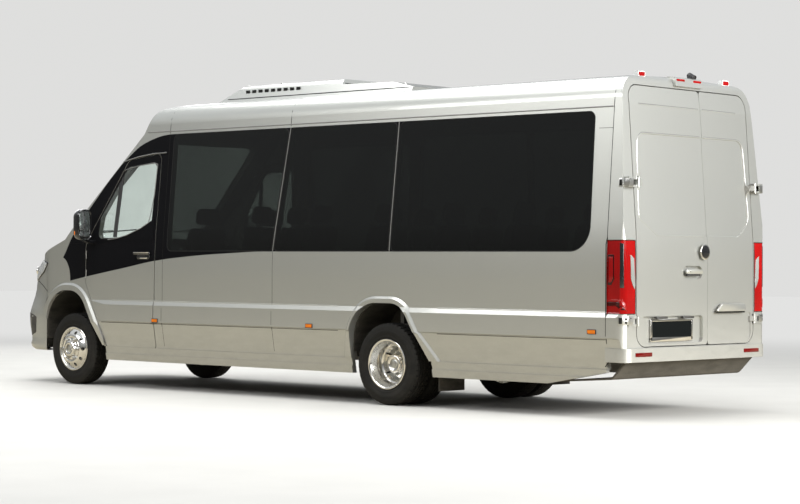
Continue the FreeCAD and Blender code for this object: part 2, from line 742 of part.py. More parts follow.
def make_floor():
    """Floor, wheel housings and the bulkhead in front of the pedals."""
    under = FLOOR - size("floor_thickness")
    inside = envelope(WALL + SEAT)
    cab_end = FRONT_AXLE - 506
    bulkhead = FRONT_AXLE - 180
    well_half = HOUSING_IN - 10
    slab = inside.common(block(REAR, cab_end, -FAR, FAR, under, FLOOR))
    housing = block(REAR_AXLE - 520, REAR_AXLE + 450, HOUSING_IN, FAR, 0, FLOOR + 500)
    slab = slab.cut(housing).cut(mirrored(housing))
    well = block(cab_end, bulkhead, -well_half, well_half, under, FLOOR)
    wall = block(bulkhead, bulkhead + 30, -well_half, well_half, under, BELT + 50)
    keep("floor_pan", fused([slab, well, wall]))

    skin = 8
    liners = []
    for arch in (FRONT_ARCH, REAR_ARCH):
        outer_face = prism(grown(arch, -SEAT), "side", HOUSING_IN, HALF - WALL - 2)
        hollow = prism(grown(arch, -skin), "side", HOUSING_IN + skin, HALF)
        below = block(REAR, FRONT, -FAR, FAR, -100, 450)
        liners.append(outer_face.cut(hollow).cut(below))
    keep("wheel_housings", both_sides(Part.makeCompound(liners)))


def make_chassis():
    """Two long rails with cross-members, under the floor."""
    rear_end = REAR_PLANE + 127
    front_end = FRONT - 260
    low = size("rail_bottom")
    top = FLOOR - size("floor_thickness") - SEAT
    rail_y = size("rail_y")
    half = size("rail_width") / 2
    rails = []
    for side in (1, -1):
        rails.append(block(rear_end, front_end, side * rail_y - half, side * rail_y + half,
                           low, top))
    members = []
    for x in (rear_end, REAR_AXLE - 900, REAR_AXLE + 900, FRONT_AXLE - 1300, front_end - 60):
        members.append(block(x, x + 60, -rail_y, rail_y, low, top - 30))
    keep("chassis_frame", fused(rails + members))


def revolved_body(name, points):
    """A body turned about its own Y axis from a closed profile of (radius, along)."""
    body = doc.addObject("PartDesign::Body", name)
    body.Label = name
    sketch = body.newObject("Sketcher::SketchObject", name + "_profile")
    plane = [f for f in body.Origin.OriginFeatures if f.Role == "XY_Plane"][0]
    sketch.AttachmentSupport = [(plane, "")]
    sketch.MapMode = "FlatFace"
    count = len(points)
    for i, (radius, along) in enumerate(points):
        following = points[(i + 1) % count]
        sketch.addGeometry(Part.LineSegment(V(radius[1], along[1], 0),
                                            V(following[0][1], following[1][1], 0)), False)
    for i in range(count):
        sketch.addConstraint(Sketcher.Constraint("Coincident", i, 2, (i + 1) % count, 1))
    for i, (radius, along) in enumerate(points):
        for kind, (formula, value) in (("DistanceX", radius), ("DistanceY", along)):
            index = sketch.addConstraint(Sketcher.Constraint(kind, -1, 1, i, 1, value))
            sketch.setExpression("Constraints[%d]" % index, formula)
    turn = body.newObject("PartDesign::Revolution", name + "_turn")
    turn.Profile = sketch
    turn.ReferenceAxis = (sketch, ["V_Axis"])
    turn.Angle = 360
    body.Tip = turn
    doc.recompute()
    return body


def bound(formula):
    """A formula over the sheet, with its present value for the first drawing."""
    probe.setExpression("Value", formula)
    doc.recompute()
    return formula, probe.Value


def tyre_profile():
    """Half section of a tyre about its middle plane: (radius, along)."""
    rim = "sizes.rim_diameter/2+sizes.seat_gap"
    out = "sizes.tyre_diameter/2"
    wide = "sizes.tyre_width/2"
    bead = "sizes.tyre_width*0.415"
    tread = "sizes.tyre_width*0.4"
    rows = (
        (rim, "0-" + bead),
        (rim + "+16", "0-" + bead),
        (rim + "+32", "0-" + wide),
        (out + "-32", "0-" + wide),
        (out, "0-" + tread),
        (out, tread),
        (out + "-32", wide),
        (rim + "+32", wide),
        (rim + "+16", bead),
        (rim, bead),
    )
    return [(bound(r), bound(a)) for r, a in rows]


def rim_shape(disc_from, disc_to, hub_length=0):
    """A drop-centre rim about its own Y axis, its dished disc bored for hub and studs."""
    rim_r = size("rim_diameter") / 2
    wall = size("rim_wall")
    half = size("tyre_width") * 0.42
    lip = 14
    well = 22
    barrel = []
    for side in (-1, 1):
        rows = [
            (rim_r - well, side * (half - 46)),
            (rim_r, side * (half - 26)),
            (rim_r, side * half),
            (rim_r + lip, side * (half + 1)),
            (rim_r + lip, side * (half + 8)),
            (rim_r - wall, side * (half + 8)),
            (rim_r - well - 8, side * (half - 50)),
        ]
        barrel += rows if side < 0 else rows[::-1]
    hub_r = size("stub_radius") + size("bearing_clearance")
    plate = 12
    disc = [
        (hub_r, disc_from), (130, disc_from), (165, disc_to), (rim_r - well - 4, disc_to),
        (rim_r - well - 4, disc_to + 8), (158, disc_to + 8), (123, disc_from + plate),
        (hub_r, disc_from + plate),
    ]
    whole = turned(barrel).fuse(turned(disc))
    if hub_length:
        hub = [(hub_r, disc_from), (78, disc_from), (72, disc_from + hub_length),
               (hub_r, disc_from + hub_length)]
        whole = whole.fuse(turned(hub))
    whole = whole.removeSplitter()
    for i in range(STUDS):
        angle = 2 * math.pi * i / STUDS
        x = size("stud_circle") / 2 * math.cos(angle)
        z = size("stud_circle") / 2 * math.sin(angle)
        hole = rod(x, disc_from - 20, z, size("stud_hole") / 2, 40 + plate, V(0, 1, 0))
        whole = whole.cut(hole)
        angle += math.pi / STUDS
        x = HAND_HOLE_CIRCLE / 2 * math.cos(angle)
        z = HAND_HOLE_CIRCLE / 2 * math.sin(angle)
        whole = whole.cut(rod(x, -120, z, HAND_HOLE / 2, 240, V(0, 1, 0)))
    return whole


def turned(profile):
    """Solid of revolution about Y from (radius, along) points."""
    points = [V(radius, along, 0) for radius, along in profile]
    face = Part.Face(Part.makePolygon(points + points[:1]))
    return face.revolve(V(0, 0, 0), V(0, 1, 0), 360)


def at_wheel(shape, x, y, flip=False):
    """A copy of a wheel piece at its place on an axle."""
    copy = shape.copy()
    if flip:
        copy.rotate(V(0, 0, 0), V(0, 0, 1), 180)
    copy.translate(V(x, y, AXLE_Z))
    return copy


def make_wheels():
    """Tyres and rims: single in front, twin behind."""
    tyre = revolved_body("tyre_pattern", tyre_profile()).Shape
    track = size("track_front") / 2
    pitch = size("twin_pitch")
    single = rim_shape(FRONT_DISC, 26)
    inner = rim_shape(pitch / 2 - 12, 28)
    outer = rim_shape(-pitch / 2, -36, 110)
    for side, word in ((1, "left"), (-1, "right")):
        flip = side < 0
        keep("tyre_front_" + word, at_wheel(tyre, FRONT_AXLE, side * track))
        keep("rim_front_" + word, at_wheel(single, FRONT_AXLE, side * track, flip))
        keep("tyres_rear_" + word, Part.makeCompound([
            at_wheel(tyre, REAR_AXLE, side * TWIN_INNER),
            at_wheel(tyre, REAR_AXLE, side * TWIN_OUTER)]))
        keep("rims_rear_" + word, Part.makeCompound([
            at_wheel(inner, REAR_AXLE, side * TWIN_INNER, flip),
            at_wheel(outer, REAR_AXLE, side * TWIN_OUTER, flip)]))


def make_front_axle():
    """Steered knuckles on kingpins, the beam that carries them and its struts."""
    pin_y = size("kingpin_y")
    pin_r = size("kingpin_radius")
    stub_r = size("stub_radius")
    x = FRONT_AXLE
    low = AXLE_Z - 93
    high = AXLE_Z + 93
    plate = 25
    web_y = pin_y + 40
    disc_face = size("track_front") / 2 + FRONT_DISC
    knuckle = fused([
        rod(x, pin_y, low, pin_r, high - low, V(0, 0, 1)),
        block(x - 35, x + 35, pin_y - 28, web_y + 10, low, low + plate),
        block(x - 35, x + 35, pin_y - 28, web_y + 10, high - plate, high),
        block(x - 40, x + 40, web_y, web_y + 20, low, high),
        rod(x, web_y + 20, AXLE_Z, stub_r, disc_face + 20 - web_y - 20, V(0, 1, 0)),
        rod(x, web_y + 22, AXLE_Z, 145, 22, V(0, 1, 0)),
        block(x - 150, x - 30, pin_y - 40, pin_y - 12, low, low + 22),
    ])
    keep("knuckle_left", knuckle)
    keep("knuckle_right", mirrored(knuckle))

    rail_y = size("rail_y")
    half = size("rail_width") / 2
    beam = [block(x - 40, x + 40, -pin_y + 24, pin_y - 24, AXLE_Z - 40, AXLE_Z + 40)]
    for side in (1, -1):
        beam.append(rod(x, side * pin_y, AXLE_Z - 55, 32, 110, V(0, 0, 1)))
        beam.append(block(x - 40, x + 40, side * rail_y - half, side * rail_y + half,
                          AXLE_Z + 40, size("rail_bottom")))
        beam.append(rod(x, side * 640, AXLE_Z + 40, 38, 915 - AXLE_Z - 40, V(0, 0, 1)))
    beam = fused(beam)
    for side in (1, -1):
        beam = beam.cut(rod(x, side * pin_y, AXLE_Z - 60, pin_r + size("bearing_clearance"),
                            120, V(0, 0, 1)))
    keep("front_axle", beam)


def make_rear_axle():
    """Driven rear axle with brake drums, on two leaf springs."""
    x = REAR_AXLE
    stub_r = size("stub_radius")
    tube_r = 52
    drum_face = TWIN_FACE - 12 - 12
    casing = turned([(0, -150), (110, -110), (150, -40), (150, 40), (110, 110), (0, 150)])
    pieces = [
        rod(x, -drum_face, AXLE_Z, tube_r, 2 * drum_face, V(0, 1, 0)),
        at_wheel(casing, x, 0),
    ]
    for side in (1, -1):
        out = V(0, side, 0)
        pieces.append(rod(x, side * (drum_face - 130), AXLE_Z, 125, 130, out))
        pieces.append(rod(x, side * drum_face, AXLE_Z, stub_r, 100, out))
    keep("rear_axle", fused(pieces))

    rail_y = size("rail_y")
    span = 700
    rise = 58
    seat = AXLE_Z + tube_r + SEAT
    leaf = 34
    bend = (span * span + rise * rise) / (2 * rise)
    springs = []
    for side in (1, -1):
        y = side * rail_y - 35
        ring = rod(x, y, seat + bend, bend, 70, V(0, 1, 0)).cut(
            rod(x, y, seat + bend, bend - leaf, 70, V(0, 1, 0)))
        springs.append(ring.common(block(x - span, x + span, y, y + 70, seat - 10,
                                         size("rail_bottom") - SEAT)))
    keep("leaf_springs", Part.makeCompound(springs))


def make_drive_line():
    """Engine and gearbox block, propeller shaft, exhaust and fuel tank."""
    x = FRONT_AXLE
    rail_in = size("rail_y") - size("rail_width") / 2 - SEAT
    rail_out = size("rail_y") + size("rail_width") / 2 + SEAT
    under = FLOOR - size("floor_thickness") - SEAT
    engine = fused([
        block(x - 100, x + 560, -270, 270, 560, 1150),
        block(x - 760, x - 90, -120, 120, 400, 640),
        block(x + 180, x + 260, -rail_in, rail_in, 565, 625),
    ])
    keep("engine_block", engine)
    start = V(x - 761.2, 0, 440)
    end = V(REAR_AXLE + 150.6, 0, AXLE_Z + 10)
    run = end - start
    keep("propeller_shaft", Part.makeCylinder(36, run.Length, start, run))
    tank = prism(
        [(x - 2700, 400, 40), (x - 1500, 400, 40), (x - 1500, under, 40), (x - 2700, under, 40)],
        "side", rail_out, rail_out + 400)
    keep("fuel_tank", tank)
    pipe_y = -rail_out - 70
    pipes = fused([
        rod(x - 700, pipe_y, 470, 27, x - 700 - REAR_AXLE - 620, V(-1, 0, 0)),
        rod(REAR_AXLE + 1500, pipe_y, 470, 68, 620, V(-1, 0, 0)),
        block(REAR_AXLE + 1150, REAR_AXLE + 1180, pipe_y - 20, pipe_y + 70, 470, 560),
        block(x - 900, x - 870, pipe_y - 12, pipe_y + 70, 480, 560),
    ])
    keep("exhaust", pipes)


def make_roof_gear(clear):
    """The air-conditioning unit, the rear marker lamps and the camera with its brake lamp."""
    x = FRONT_AXLE
    side_view = [
        (x - 1660, ROOF - 60, 0),
        (x - 1995, ROOF + 142, 60),
        (x - 2365, ROOF + 146, 0),
        (x - 3315, ROOF + 146, 20),
        (x - 3335, ROOF + 92, 10),
        (x - 3980, ROOF + 78, 60),
        (x - 4250, ROOF + 22, 0),
        (x - 4250, ROOF - 60, 0),
    ]
    foot = HALF - 360
    front_view = [
        (-foot, ROOF - 60, 0),
        (foot, ROOF - 60, 0),
        (foot - 140, ROOF + 148, 90),
        (-foot + 140, ROOF + 148, 90),
    ]
    unit_form = prism(side_view, "side", -foot - 60, foot + 60).common(
        prism(front_view, "front", REAR, FRONT))
    keep("roof_air_unit", unit_form.cut(clear))
    lamps = []
    for side in (-1, 1):
        y = side * (HALF - 414)
        lamps.append(block(D_SEAM - 55, D_SEAM - 4, y - 46, y + 46, ROOF - 50, ROOF + 16))
    keep("roof_marker_lamps", Part.makeCompound([lamp.cut(clear) for lamp in lamps]))
    pod = prism([
        (D_SEAM - 106, ROOF - 80, 0),
        (D_SEAM - 4, ROOF - 80, 0),
        (D_SEAM - 4, ROOF + 4, 20),
        (D_SEAM - 92, ROOF - 6, 20),
    ], "side", -187, 187)
    keep("rear_camera", pod.cut(clear))


def make_trim(clear):
    """Side marker lamps, mud flaps, door mirrors and the blank number plate."""
    lamps = []
    for x, z in ((FRONT_AXLE - 1294, 662), (REAR_AXLE + 935, 662), (D_SEAM + 114, 690)):
        lamps.append(block(x - 38, x + 38, HALF - 80, HALF + 8, z - 14, z + 14).cut(clear))
    keep("side_marker_lamps", both_sides(Part.makeCompound(lamps)))

    under = FLOOR - size("floor_thickness") - SEAT
    tread_in = size("track_front") / 2 - size("tyre_width") / 2 - 10
    flaps = [
        block(REAR_AXLE - 522, REAR_AXLE - 516, HOUSING_IN + 60, TWIN_OUTER, 140, under),
        block(FRONT_AXLE - 521, FRONT_AXLE - 515, tread_in, tread_in + 140, 300, under),
    ]
    keep("mud_flaps", both_sides(Part.makeCompound(flaps)))

    x = FRONT_AXLE - 330
    foot = BELT + 95
    head = prism([
        (HALF + 45, foot, 50),
        (HALF + 205, foot, 60),
        (HALF + 213, foot + 310, 60),
        (HALF + 45, foot + 310, 60),
    ], "front", x - 60, x + 60)
    arm = block(x - 35, x + 25, HALF - 60, HALF + 120, foot - 40, foot + 10)
    mirror = fused([head, arm]).cut(clear)
    keep("mirror_left", mirror)
    keep("mirror_right", mirrored(solids_only(mirror)))

    inner, low, _ = PLATE_RECESS[0]
    low += 45
    back = REAR_FACE + size("recess_depth") - SEAT
    keep("number_plate", block(back - 12, back, inner + 140, inner + 680, low, low + 135))


SEAT_PITCH = 790
SEAT_OUTLINE = [
    (-400, 0, 0), (-80, 0, 0), (-80, 300, 20), (20, 320, 30), (20, 430, 40),
    (-380, 400, 60), (-520, 1090, 50), (-620, 1070, 50), (-500, 360, 60), (-400, 300, 0),
]


def seat(front_x, y, width):
    """One seat on its pedestal, its cushion's front at a place along the floor."""
    corners = [(front_x + x, FLOOR + SEAT + z, radius) for x, z, radius in SEAT_OUTLINE]
    return prism(corners, "side", y - width / 2, y + width / 2)


def make_inside():
    """Dashboard, steering wheel, cab seats and passenger seats."""
    x = FRONT_AXLE
    dash = [
        (x - 180 - SEAT, BELT - 330, 0),
        (x - 180 - SEAT, BELT + 55, 0),
        (x - 420, BELT + 62, 60),
        (x - 560, BELT - 40, 60),
        (x - 540, BELT - 250, 80),
        (x - 400, BELT - 330, 40),
    ]
    dash_half = HALF - WALL - 60
    driver_y = HALF - 580
    keep("dashboard", prism(dash, "side", -dash_half, dash_half))
    section = [(175, 0), (182, 13), (198, 13), (205, 0), (198, -13), (182, -13)]
    wheel = turned(section)
    wheel.rotate(V(0, 0, 0), V(1, 0, 0), 90)
    hub = Part.makeCylinder(50, 30, V(0, 0, -20))
    spokes = [
        Part.makeBox(364, 36, 12, V(-182, -18, -6)),
        Part.makeBox(36, 182, 12, V(-18, -182, -6)),
    ]
    column = Part.makeCylinder(24, 190, V(0, 0, -200))
    whole = fused([wheel, hub, column] + spokes)
    whole.rotate(V(0, 0, 0), V(0, 1, 0), -32)
    whole.translate(V(x - 640, driver_y, BELT - 85))
    keep("steering_wheel", whole.cut(prism(grown(dash, SEAT), "side", -dash_half, dash_half)))
    keep("cab_seats", Part.makeCompound([
        seat(x - 860, side * (driver_y + 10), 480) for side in (1, -1)]))
    rows = []
    housing = prism(grown(REAR_ARCH, SEAT), "side", HOUSING_IN - SEAT, HALF)
    width = 400
    window_y = HALF - WALL - width / 2 - 50
    aisle_y = window_y - width - 50
    places = {"first": (aisle_y, window_y), "other": (-window_y, -aisle_y, window_y)}
    for i in range(6):
        front_x = x - 1900 - SEAT_PITCH * i
        for y in places["other" if i else "first"]:
            rows.append(seat(front_x, y, width).cut(housing).cut(mirrored(housing)))
    keep("passenger_seats", Part.makeCompound(rows))


def check_and_write():
    """Stops at a failed object, then writes one STEP file for each sub-part."""
    doc.recompute()
    for item in doc.Objects:
        if "Invalid" in item.State or "Error" in item.State:
            raise RuntimeError("%s failed" % item.Name)
    os.makedirs("parts", exist_ok=True)
    for name, part in parts.items():
        shape = part.Shape
        if shape.isNull() or not shape.isValid() or not shape.Solids:
            raise RuntimeError("%s has no valid solid" % name)
        shape.exportStep("parts/%s.step" % name)
        print("%-22s %2d solids %8.1f litres" % (name, len(shape.Solids), shape.Volume / 1e6))


make_side_walls()
make_roof()
make_cab()
make_rear()
make_skirts()
make_floor()
make_chassis()
make_wheels()
make_front_axle()
make_rear_axle()
make_drive_line()
around = envelope(-SEAT)
make_roof_gear(around)
make_trim(around)
make_inside()
check_and_write()
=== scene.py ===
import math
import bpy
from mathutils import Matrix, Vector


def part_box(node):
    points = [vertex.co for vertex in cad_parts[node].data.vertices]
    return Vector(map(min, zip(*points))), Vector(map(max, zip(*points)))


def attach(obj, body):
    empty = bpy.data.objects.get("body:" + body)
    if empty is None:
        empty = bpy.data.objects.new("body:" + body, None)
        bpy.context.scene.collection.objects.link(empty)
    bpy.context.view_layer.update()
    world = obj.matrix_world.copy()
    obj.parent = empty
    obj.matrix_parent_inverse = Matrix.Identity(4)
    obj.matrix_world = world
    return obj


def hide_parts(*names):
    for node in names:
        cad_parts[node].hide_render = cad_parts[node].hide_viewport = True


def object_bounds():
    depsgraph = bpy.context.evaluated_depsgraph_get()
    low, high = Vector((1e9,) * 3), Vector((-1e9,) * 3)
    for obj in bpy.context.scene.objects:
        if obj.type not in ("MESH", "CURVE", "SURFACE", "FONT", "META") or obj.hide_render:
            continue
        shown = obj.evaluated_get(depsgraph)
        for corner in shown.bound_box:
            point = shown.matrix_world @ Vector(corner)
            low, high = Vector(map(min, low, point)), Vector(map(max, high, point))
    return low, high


bl_info = {
    "name": "Minibus Finish",
    "version": (1, 0, 0),
    "blender": (4, 5, 0),
    "location": "3D View > Sidebar > Minibus",
    "description": "Paint, glass, wheels, lamps, door furniture, seats and a studio for a minibus",
    "category": "Object",
}

import bmesh
import bpy
from mathutils import Matrix, Vector
from mathutils.bvhtree import BVHTree

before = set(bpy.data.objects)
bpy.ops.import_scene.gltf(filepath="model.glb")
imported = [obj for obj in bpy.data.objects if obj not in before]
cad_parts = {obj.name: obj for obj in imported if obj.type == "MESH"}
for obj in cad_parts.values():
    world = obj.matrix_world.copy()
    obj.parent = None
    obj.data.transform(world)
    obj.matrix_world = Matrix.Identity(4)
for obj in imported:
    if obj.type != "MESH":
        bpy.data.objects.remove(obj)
CAD_BOX = [list(corner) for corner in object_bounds()]


def middle(node):
    """Centre of a node's box at rest."""
    low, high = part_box(node)
    return (low + high) / 2


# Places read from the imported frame, in metres
FRONT_WHEEL = middle("tyre_front_left")
FRONT_AXLE = FRONT_WHEEL.x
REAR_AXLE = middle("tyres_rear_left").x
AXLE_Z = FRONT_WHEEL.z
TYRE_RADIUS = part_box("tyre_front_left")[1].z - AXLE_Z
TYRE_HALF = (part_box("tyre_front_left")[1].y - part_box("tyre_front_left")[0].y) / 2
TWIN_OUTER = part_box("tyres_rear_left")[1].y - TYRE_HALF
TWIN_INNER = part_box("tyres_rear_left")[0].y + TYRE_HALF
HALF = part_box("rear_frame")[1].y
REAR_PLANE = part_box("rear_door_left")[0].x
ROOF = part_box("roof_panel")[1].z
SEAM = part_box("roof_panel")[0].z
B_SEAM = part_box("cab_frame")[0].x
REAR_QUARTER = 0.186
D_SEAM = REAR_PLANE + REAR_QUARTER
REAR_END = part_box("rear_bumper")[0].x
LEFT_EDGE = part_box("rear_door_left")[0].y
RIGHT_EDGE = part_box("rear_door_right")[1].y
SIDES = (("left", 1), ("right", -1))
DOORS = {"left": "driver_door", "right": "passenger_door"}

# Places on the body read off the photograph, (along, height) in metres
REAR_DIVIDER = ((-1.409, 1.325), (-1.439, 2.440))
MIDDLE_DIVIDER = ((0.041, 1.325), (-0.099, 2.440))
MARKERS = ((1.647, 0.662), (-0.449, 0.662), (-3.621, 0.690))
# Axis of a tail lamp's rounded corner, (along, across)
LAMP_CORNER = (-3.750, 0.820)

# Where rays that look for a surface start: clear of the nose, of a side and of the roof
CLEAR_AHEAD = 5.0
CLEAR_ASIDE = 2.0
CLEAR_ABOVE = 3.4
DOWN = Vector((0, 0, -1))
FORWARD = Vector((1, 0, 0))
BACKWARD = Vector((-1, 0, 0))


class MinibusColours(bpy.types.PropertyGroup):
    """Colours that a user would change."""

    silver: bpy.props.FloatVectorProperty(
        name="Silver paint", description="Metallic paint of the body",
        subtype="COLOR", size=3, min=0, max=1, default=(0.50, 0.505, 0.475))
    band: bpy.props.FloatVectorProperty(
        name="Black band", description="Gloss black round the windows and on the cab doors",
        subtype="COLOR", size=3, min=0, max=1, default=(0.006, 0.006, 0.007))
    lining: bpy.props.FloatVectorProperty(
        name="Lining", description="Trim on the inside of the walls, doors and roof",
        subtype="COLOR", size=3, min=0, max=1, default=(0.36, 0.35, 0.33))
    privacy: bpy.props.FloatVectorProperty(
        name="Privacy glass", description="Tint of the passengers' windows, for each face",
        subtype="COLOR", size=3, min=0, max=1, default=(0.035, 0.042, 0.038))
    cab_glass: bpy.props.FloatVectorProperty(
        name="Cab glass", description="Tint of the cab's windows, for each face",
        subtype="COLOR", size=3, min=0, max=1, default=(0.90, 0.96, 0.93))
    lens_red: bpy.props.FloatVectorProperty(
        name="Red lens", description="Tail lamps, reflectors and roof lamps",
        subtype="COLOR", size=3, min=0, max=1, default=(0.36, 0.003, 0.003))
    lens_amber: bpy.props.FloatVectorProperty(
        name="Amber lens", description="Side marker lamps and indicators",
        subtype="COLOR", size=3, min=0, max=1, default=(0.95, 0.24, 0.015))
    cloth: bpy.props.FloatVectorProperty(
        name="Seat cloth", description="Middle panels of the seats",
        subtype="COLOR", size=3, min=0, max=1, default=(0.045, 0.050, 0.060))
    floor: bpy.props.FloatVectorProperty(
        name="Studio floor", description="Floor and backdrop",
        subtype="COLOR", size=3, min=0, max=1, default=(0.56, 0.55, 0.52))


class MinibusSizes(bpy.types.PropertyGroup):
    """Sizes that a user would change."""

    tread_depth: bpy.props.FloatProperty(
        name="Tread depth", description="Depth of the tyres' grooves",
        unit="LENGTH", min=0.0, max=0.02, default=0.008)
    tread_pitches: bpy.props.IntProperty(
        name="Tread pitches", description="Shoulder blocks round a tyre",
        min=12, max=80, default=46)
    trim_holes: bpy.props.IntProperty(
        name="Trim holes", description="Round holes in each front wheel trim",
        min=4, max=16, default=10)
    nuts: bpy.props.IntProperty(
        name="Wheel nuts", description="Nuts on each wheel", min=4, max=12, default=6)
    seal: bpy.props.FloatProperty(
        name="Seal", description="Radius of the rubber seals and panel joints",
        unit="LENGTH", min=0.001, max=0.02, default=0.0045)
    lens_step: bpy.props.FloatProperty(
        name="Lens step", description="How far the lamp lenses stand out from the body",
        unit="LENGTH", min=0.0005, max=0.01, default=0.003)
    swell: bpy.props.FloatProperty(
        name="Seat swell", description="Most that a seat's padding moves when it is filled",
        unit="LENGTH", min=0.0, max=0.05, default=0.010)


# Node trees


def add_node(tree, kind, settings=None, **inputs):
    """A shader node; an input is a socket to link or a value, and i0, i1 name it by place."""
    node = tree.nodes.new("ShaderNode" + kind)
    for name, value in (settings or {}).items():
        setattr(node, name, value)
    for name, value in inputs.items():
        place = int(name[1:]) if name[1:].isdigit() else name.replace("_", " ")
        socket = node.inputs[place]
        if isinstance(value, bpy.types.NodeSocket):
            tree.links.new(value, socket)
        else:
            socket.default_value = value
    return node


def maths(tree, operation, a, b=0.0, clamp=False):
    """Output of a Math node."""
    settings = {"operation": operation, "use_clamp": clamp}
    return add_node(tree, "Math", settings, i0=a, i1=b).outputs[0]


def ramp(tree, value, low, high, to_low=0.0, to_high=1.0):
    """A value mapped smoothly from one range to another."""
    return add_node(tree, "MapRange", {"interpolation_type": "SMOOTHSTEP"},
                    i0=value, i1=low, i2=high, i3=to_low, i4=to_high).outputs[0]


def blend_colours(tree, factor, a, b):
    """Colour a where the factor is 0 and b where it is 1."""
    return add_node(tree, "Mix", {"data_type": "RGBA"}, i0=factor, i6=a, i7=b).outputs[2]


def rgba(colour):
    """A colour with its alpha."""
    return (*tuple(colour)[:3], 1.0)


def scaled(colour, by):
    """A lighter or darker copy of a colour."""
    return tuple(min(1.0, c * by) for c in tuple(colour)[:3])


def group_tree(name, inputs, outputs):
    """A new node group; its sockets are (name, kind, default)."""
    tree = bpy.data.node_groups.new(name, "ShaderNodeTree")
    for label, kind, default in inputs:
        socket = tree.interface.new_socket(label, in_out="INPUT", socket_type="NodeSocket" + kind)
        socket.default_value = default
    for label, kind in outputs:
        tree.interface.new_socket(label, in_out="OUTPUT", socket_type="NodeSocket" + kind)
    return tree, tree.nodes.new("NodeGroupInput").outputs, tree.nodes.new("NodeGroupOutput")


def give(tree, output, **values):
    """Links a group's results to its output sockets."""
    for name, value in values.items():
        tree.links.new(value, output.inputs[name.replace("_", " ")])


def object_place(tree, scale=None):
    """The object's own coordinates, so that a texture rides with its piece."""
    place = add_node(tree, "TexCoord").outputs["Object"]
    if scale is None:
        return place
    return add_node(tree, "Mapping", Vector=place, Scale=scale).outputs[0]


def make_grain_group():
    """Fine raised grain, as on moulded plastic or rubber."""
    tree, given, out = group_tree(
        "Surface Grain",
        [("Scale", "Float", 400.0), ("Depth", "Float", 0.0005), ("Strength", "Float", 0.3)],
        [("Normal", "Vector"), ("Grain", "Float")])
    place = object_place(tree)
    noise = add_node(tree, "TexNoise", Vector=place, Scale=given["Scale"], Detail=3.0)
    cells = add_node(tree, "TexVoronoi", Vector=place, Scale=given["Scale"])
    height = maths(tree, "ADD", noise.outputs[0], cells.outputs["Distance"])
    bump = add_node(tree, "Bump", Strength=given["Strength"], Distance=given["Depth"],
                    Height=height)
    give(tree, out, Normal=bump.outputs[0], Grain=height)
    return tree


def make_film_group():
    """Dust and road film that thins out upwards, in soft streaks."""
    tree, given, out = group_tree(
        "Road Film",
        [("Colour", "Color", (0.5, 0.5, 0.5, 1)), ("Dust", "Color", (0.33, 0.30, 0.25, 1)),
         ("Amount", "Float", 0.3), ("Height", "Float", 0.9)],
        [("Colour", "Color"), ("Film", "Float")])
    place = object_place(tree)
    height = add_node(tree, "SeparateXYZ", Vector=place).outputs[2]
    low = add_node(tree, "MapRange", {"interpolation_type": "SMOOTHSTEP"},
                   i0=height, i1=given["Height"], i2=0.1, i3=0.0, i4=1.0).outputs[0]
    streaks = add_node(tree, "TexNoise", Vector=object_place(tree, (3.0, 3.0, 9.0)), Scale=2.2,
                       Detail=6.0).outputs[0]
    specks = add_node(tree, "TexNoise", Vector=place, Scale=85.0, Detail=2.0).outputs[0]
    film = maths(tree, "MULTIPLY", maths(tree, "MULTIPLY", low, given["Amount"]),
                 ramp(tree, maths(tree, "ADD", streaks, maths(tree, "MULTIPLY", specks, 0.35)),
                      0.35, 0.95, 0.25, 1.0), clamp=True)
    give(tree, out, Colour=blend_colours(tree, film, given["Colour"], given["Dust"]), Film=film)
    return tree


def make_flake_group():
    """Metal flakes in the paint: small cells that differ in tone and tilt."""
    tree, given, out = group_tree(
        "Metal Flake",
        [("Colour", "Color", (0.5, 0.5, 0.5, 1)), ("Contrast", "Float", 0.12),
         ("Scale", "Float", 1500.0)],
        [("Colour", "Color"), ("Normal", "Vector")])
    place = object_place(tree)
    cells = add_node(tree, "TexVoronoi", Vector=place, Scale=given["Scale"])
    tone = add_node(tree, "SeparateColor", Color=cells.outputs["Color"]).outputs[0]
    drift = add_node(tree, "TexNoise", Vector=place, Scale=0.9, Detail=2.0).outputs[0]
    tone = maths(tree, "ADD", maths(tree, "SUBTRACT", tone, 0.5),
                 maths(tree, "MULTIPLY", maths(tree, "SUBTRACT", drift, 0.5), 0.5))
    value = maths(tree, "ADD", maths(tree, "MULTIPLY", tone, given["Contrast"]), 1.0)
    colour = add_node(tree, "HueSaturation", Color=given["Colour"], Value=value).outputs[0]
    bump = add_node(tree, "Bump", Strength=0.035, Distance=0.0004, Height=tone)
    give(tree, out, Colour=colour, Normal=bump.outputs[0])
    return tree


def curve_value(tree, value, low, high, points, top):
    """A value read off a curve of (place, height) points over a range of places."""
    share = add_node(tree, "MapRange", i0=value, i1=low, i2=high, i3=0.0, i4=1.0).outputs[0]
    node = add_node(tree, "FloatCurve", i1=share)
    curve = node.mapping.curves[0]
    rows = [((x - low) / (high - low), y / top) for x, y in points]
    curve.points[0].location = rows[0]
    curve.points[1].location = rows[-1]
    for row in rows[1:-1]:
        curve.points.new(*row)
    for point in curve.points:
        point.handle_type = "AUTO_CLAMPED"
    node.mapping.update()
    return maths(tree, "MULTIPLY", node.outputs[0], top)


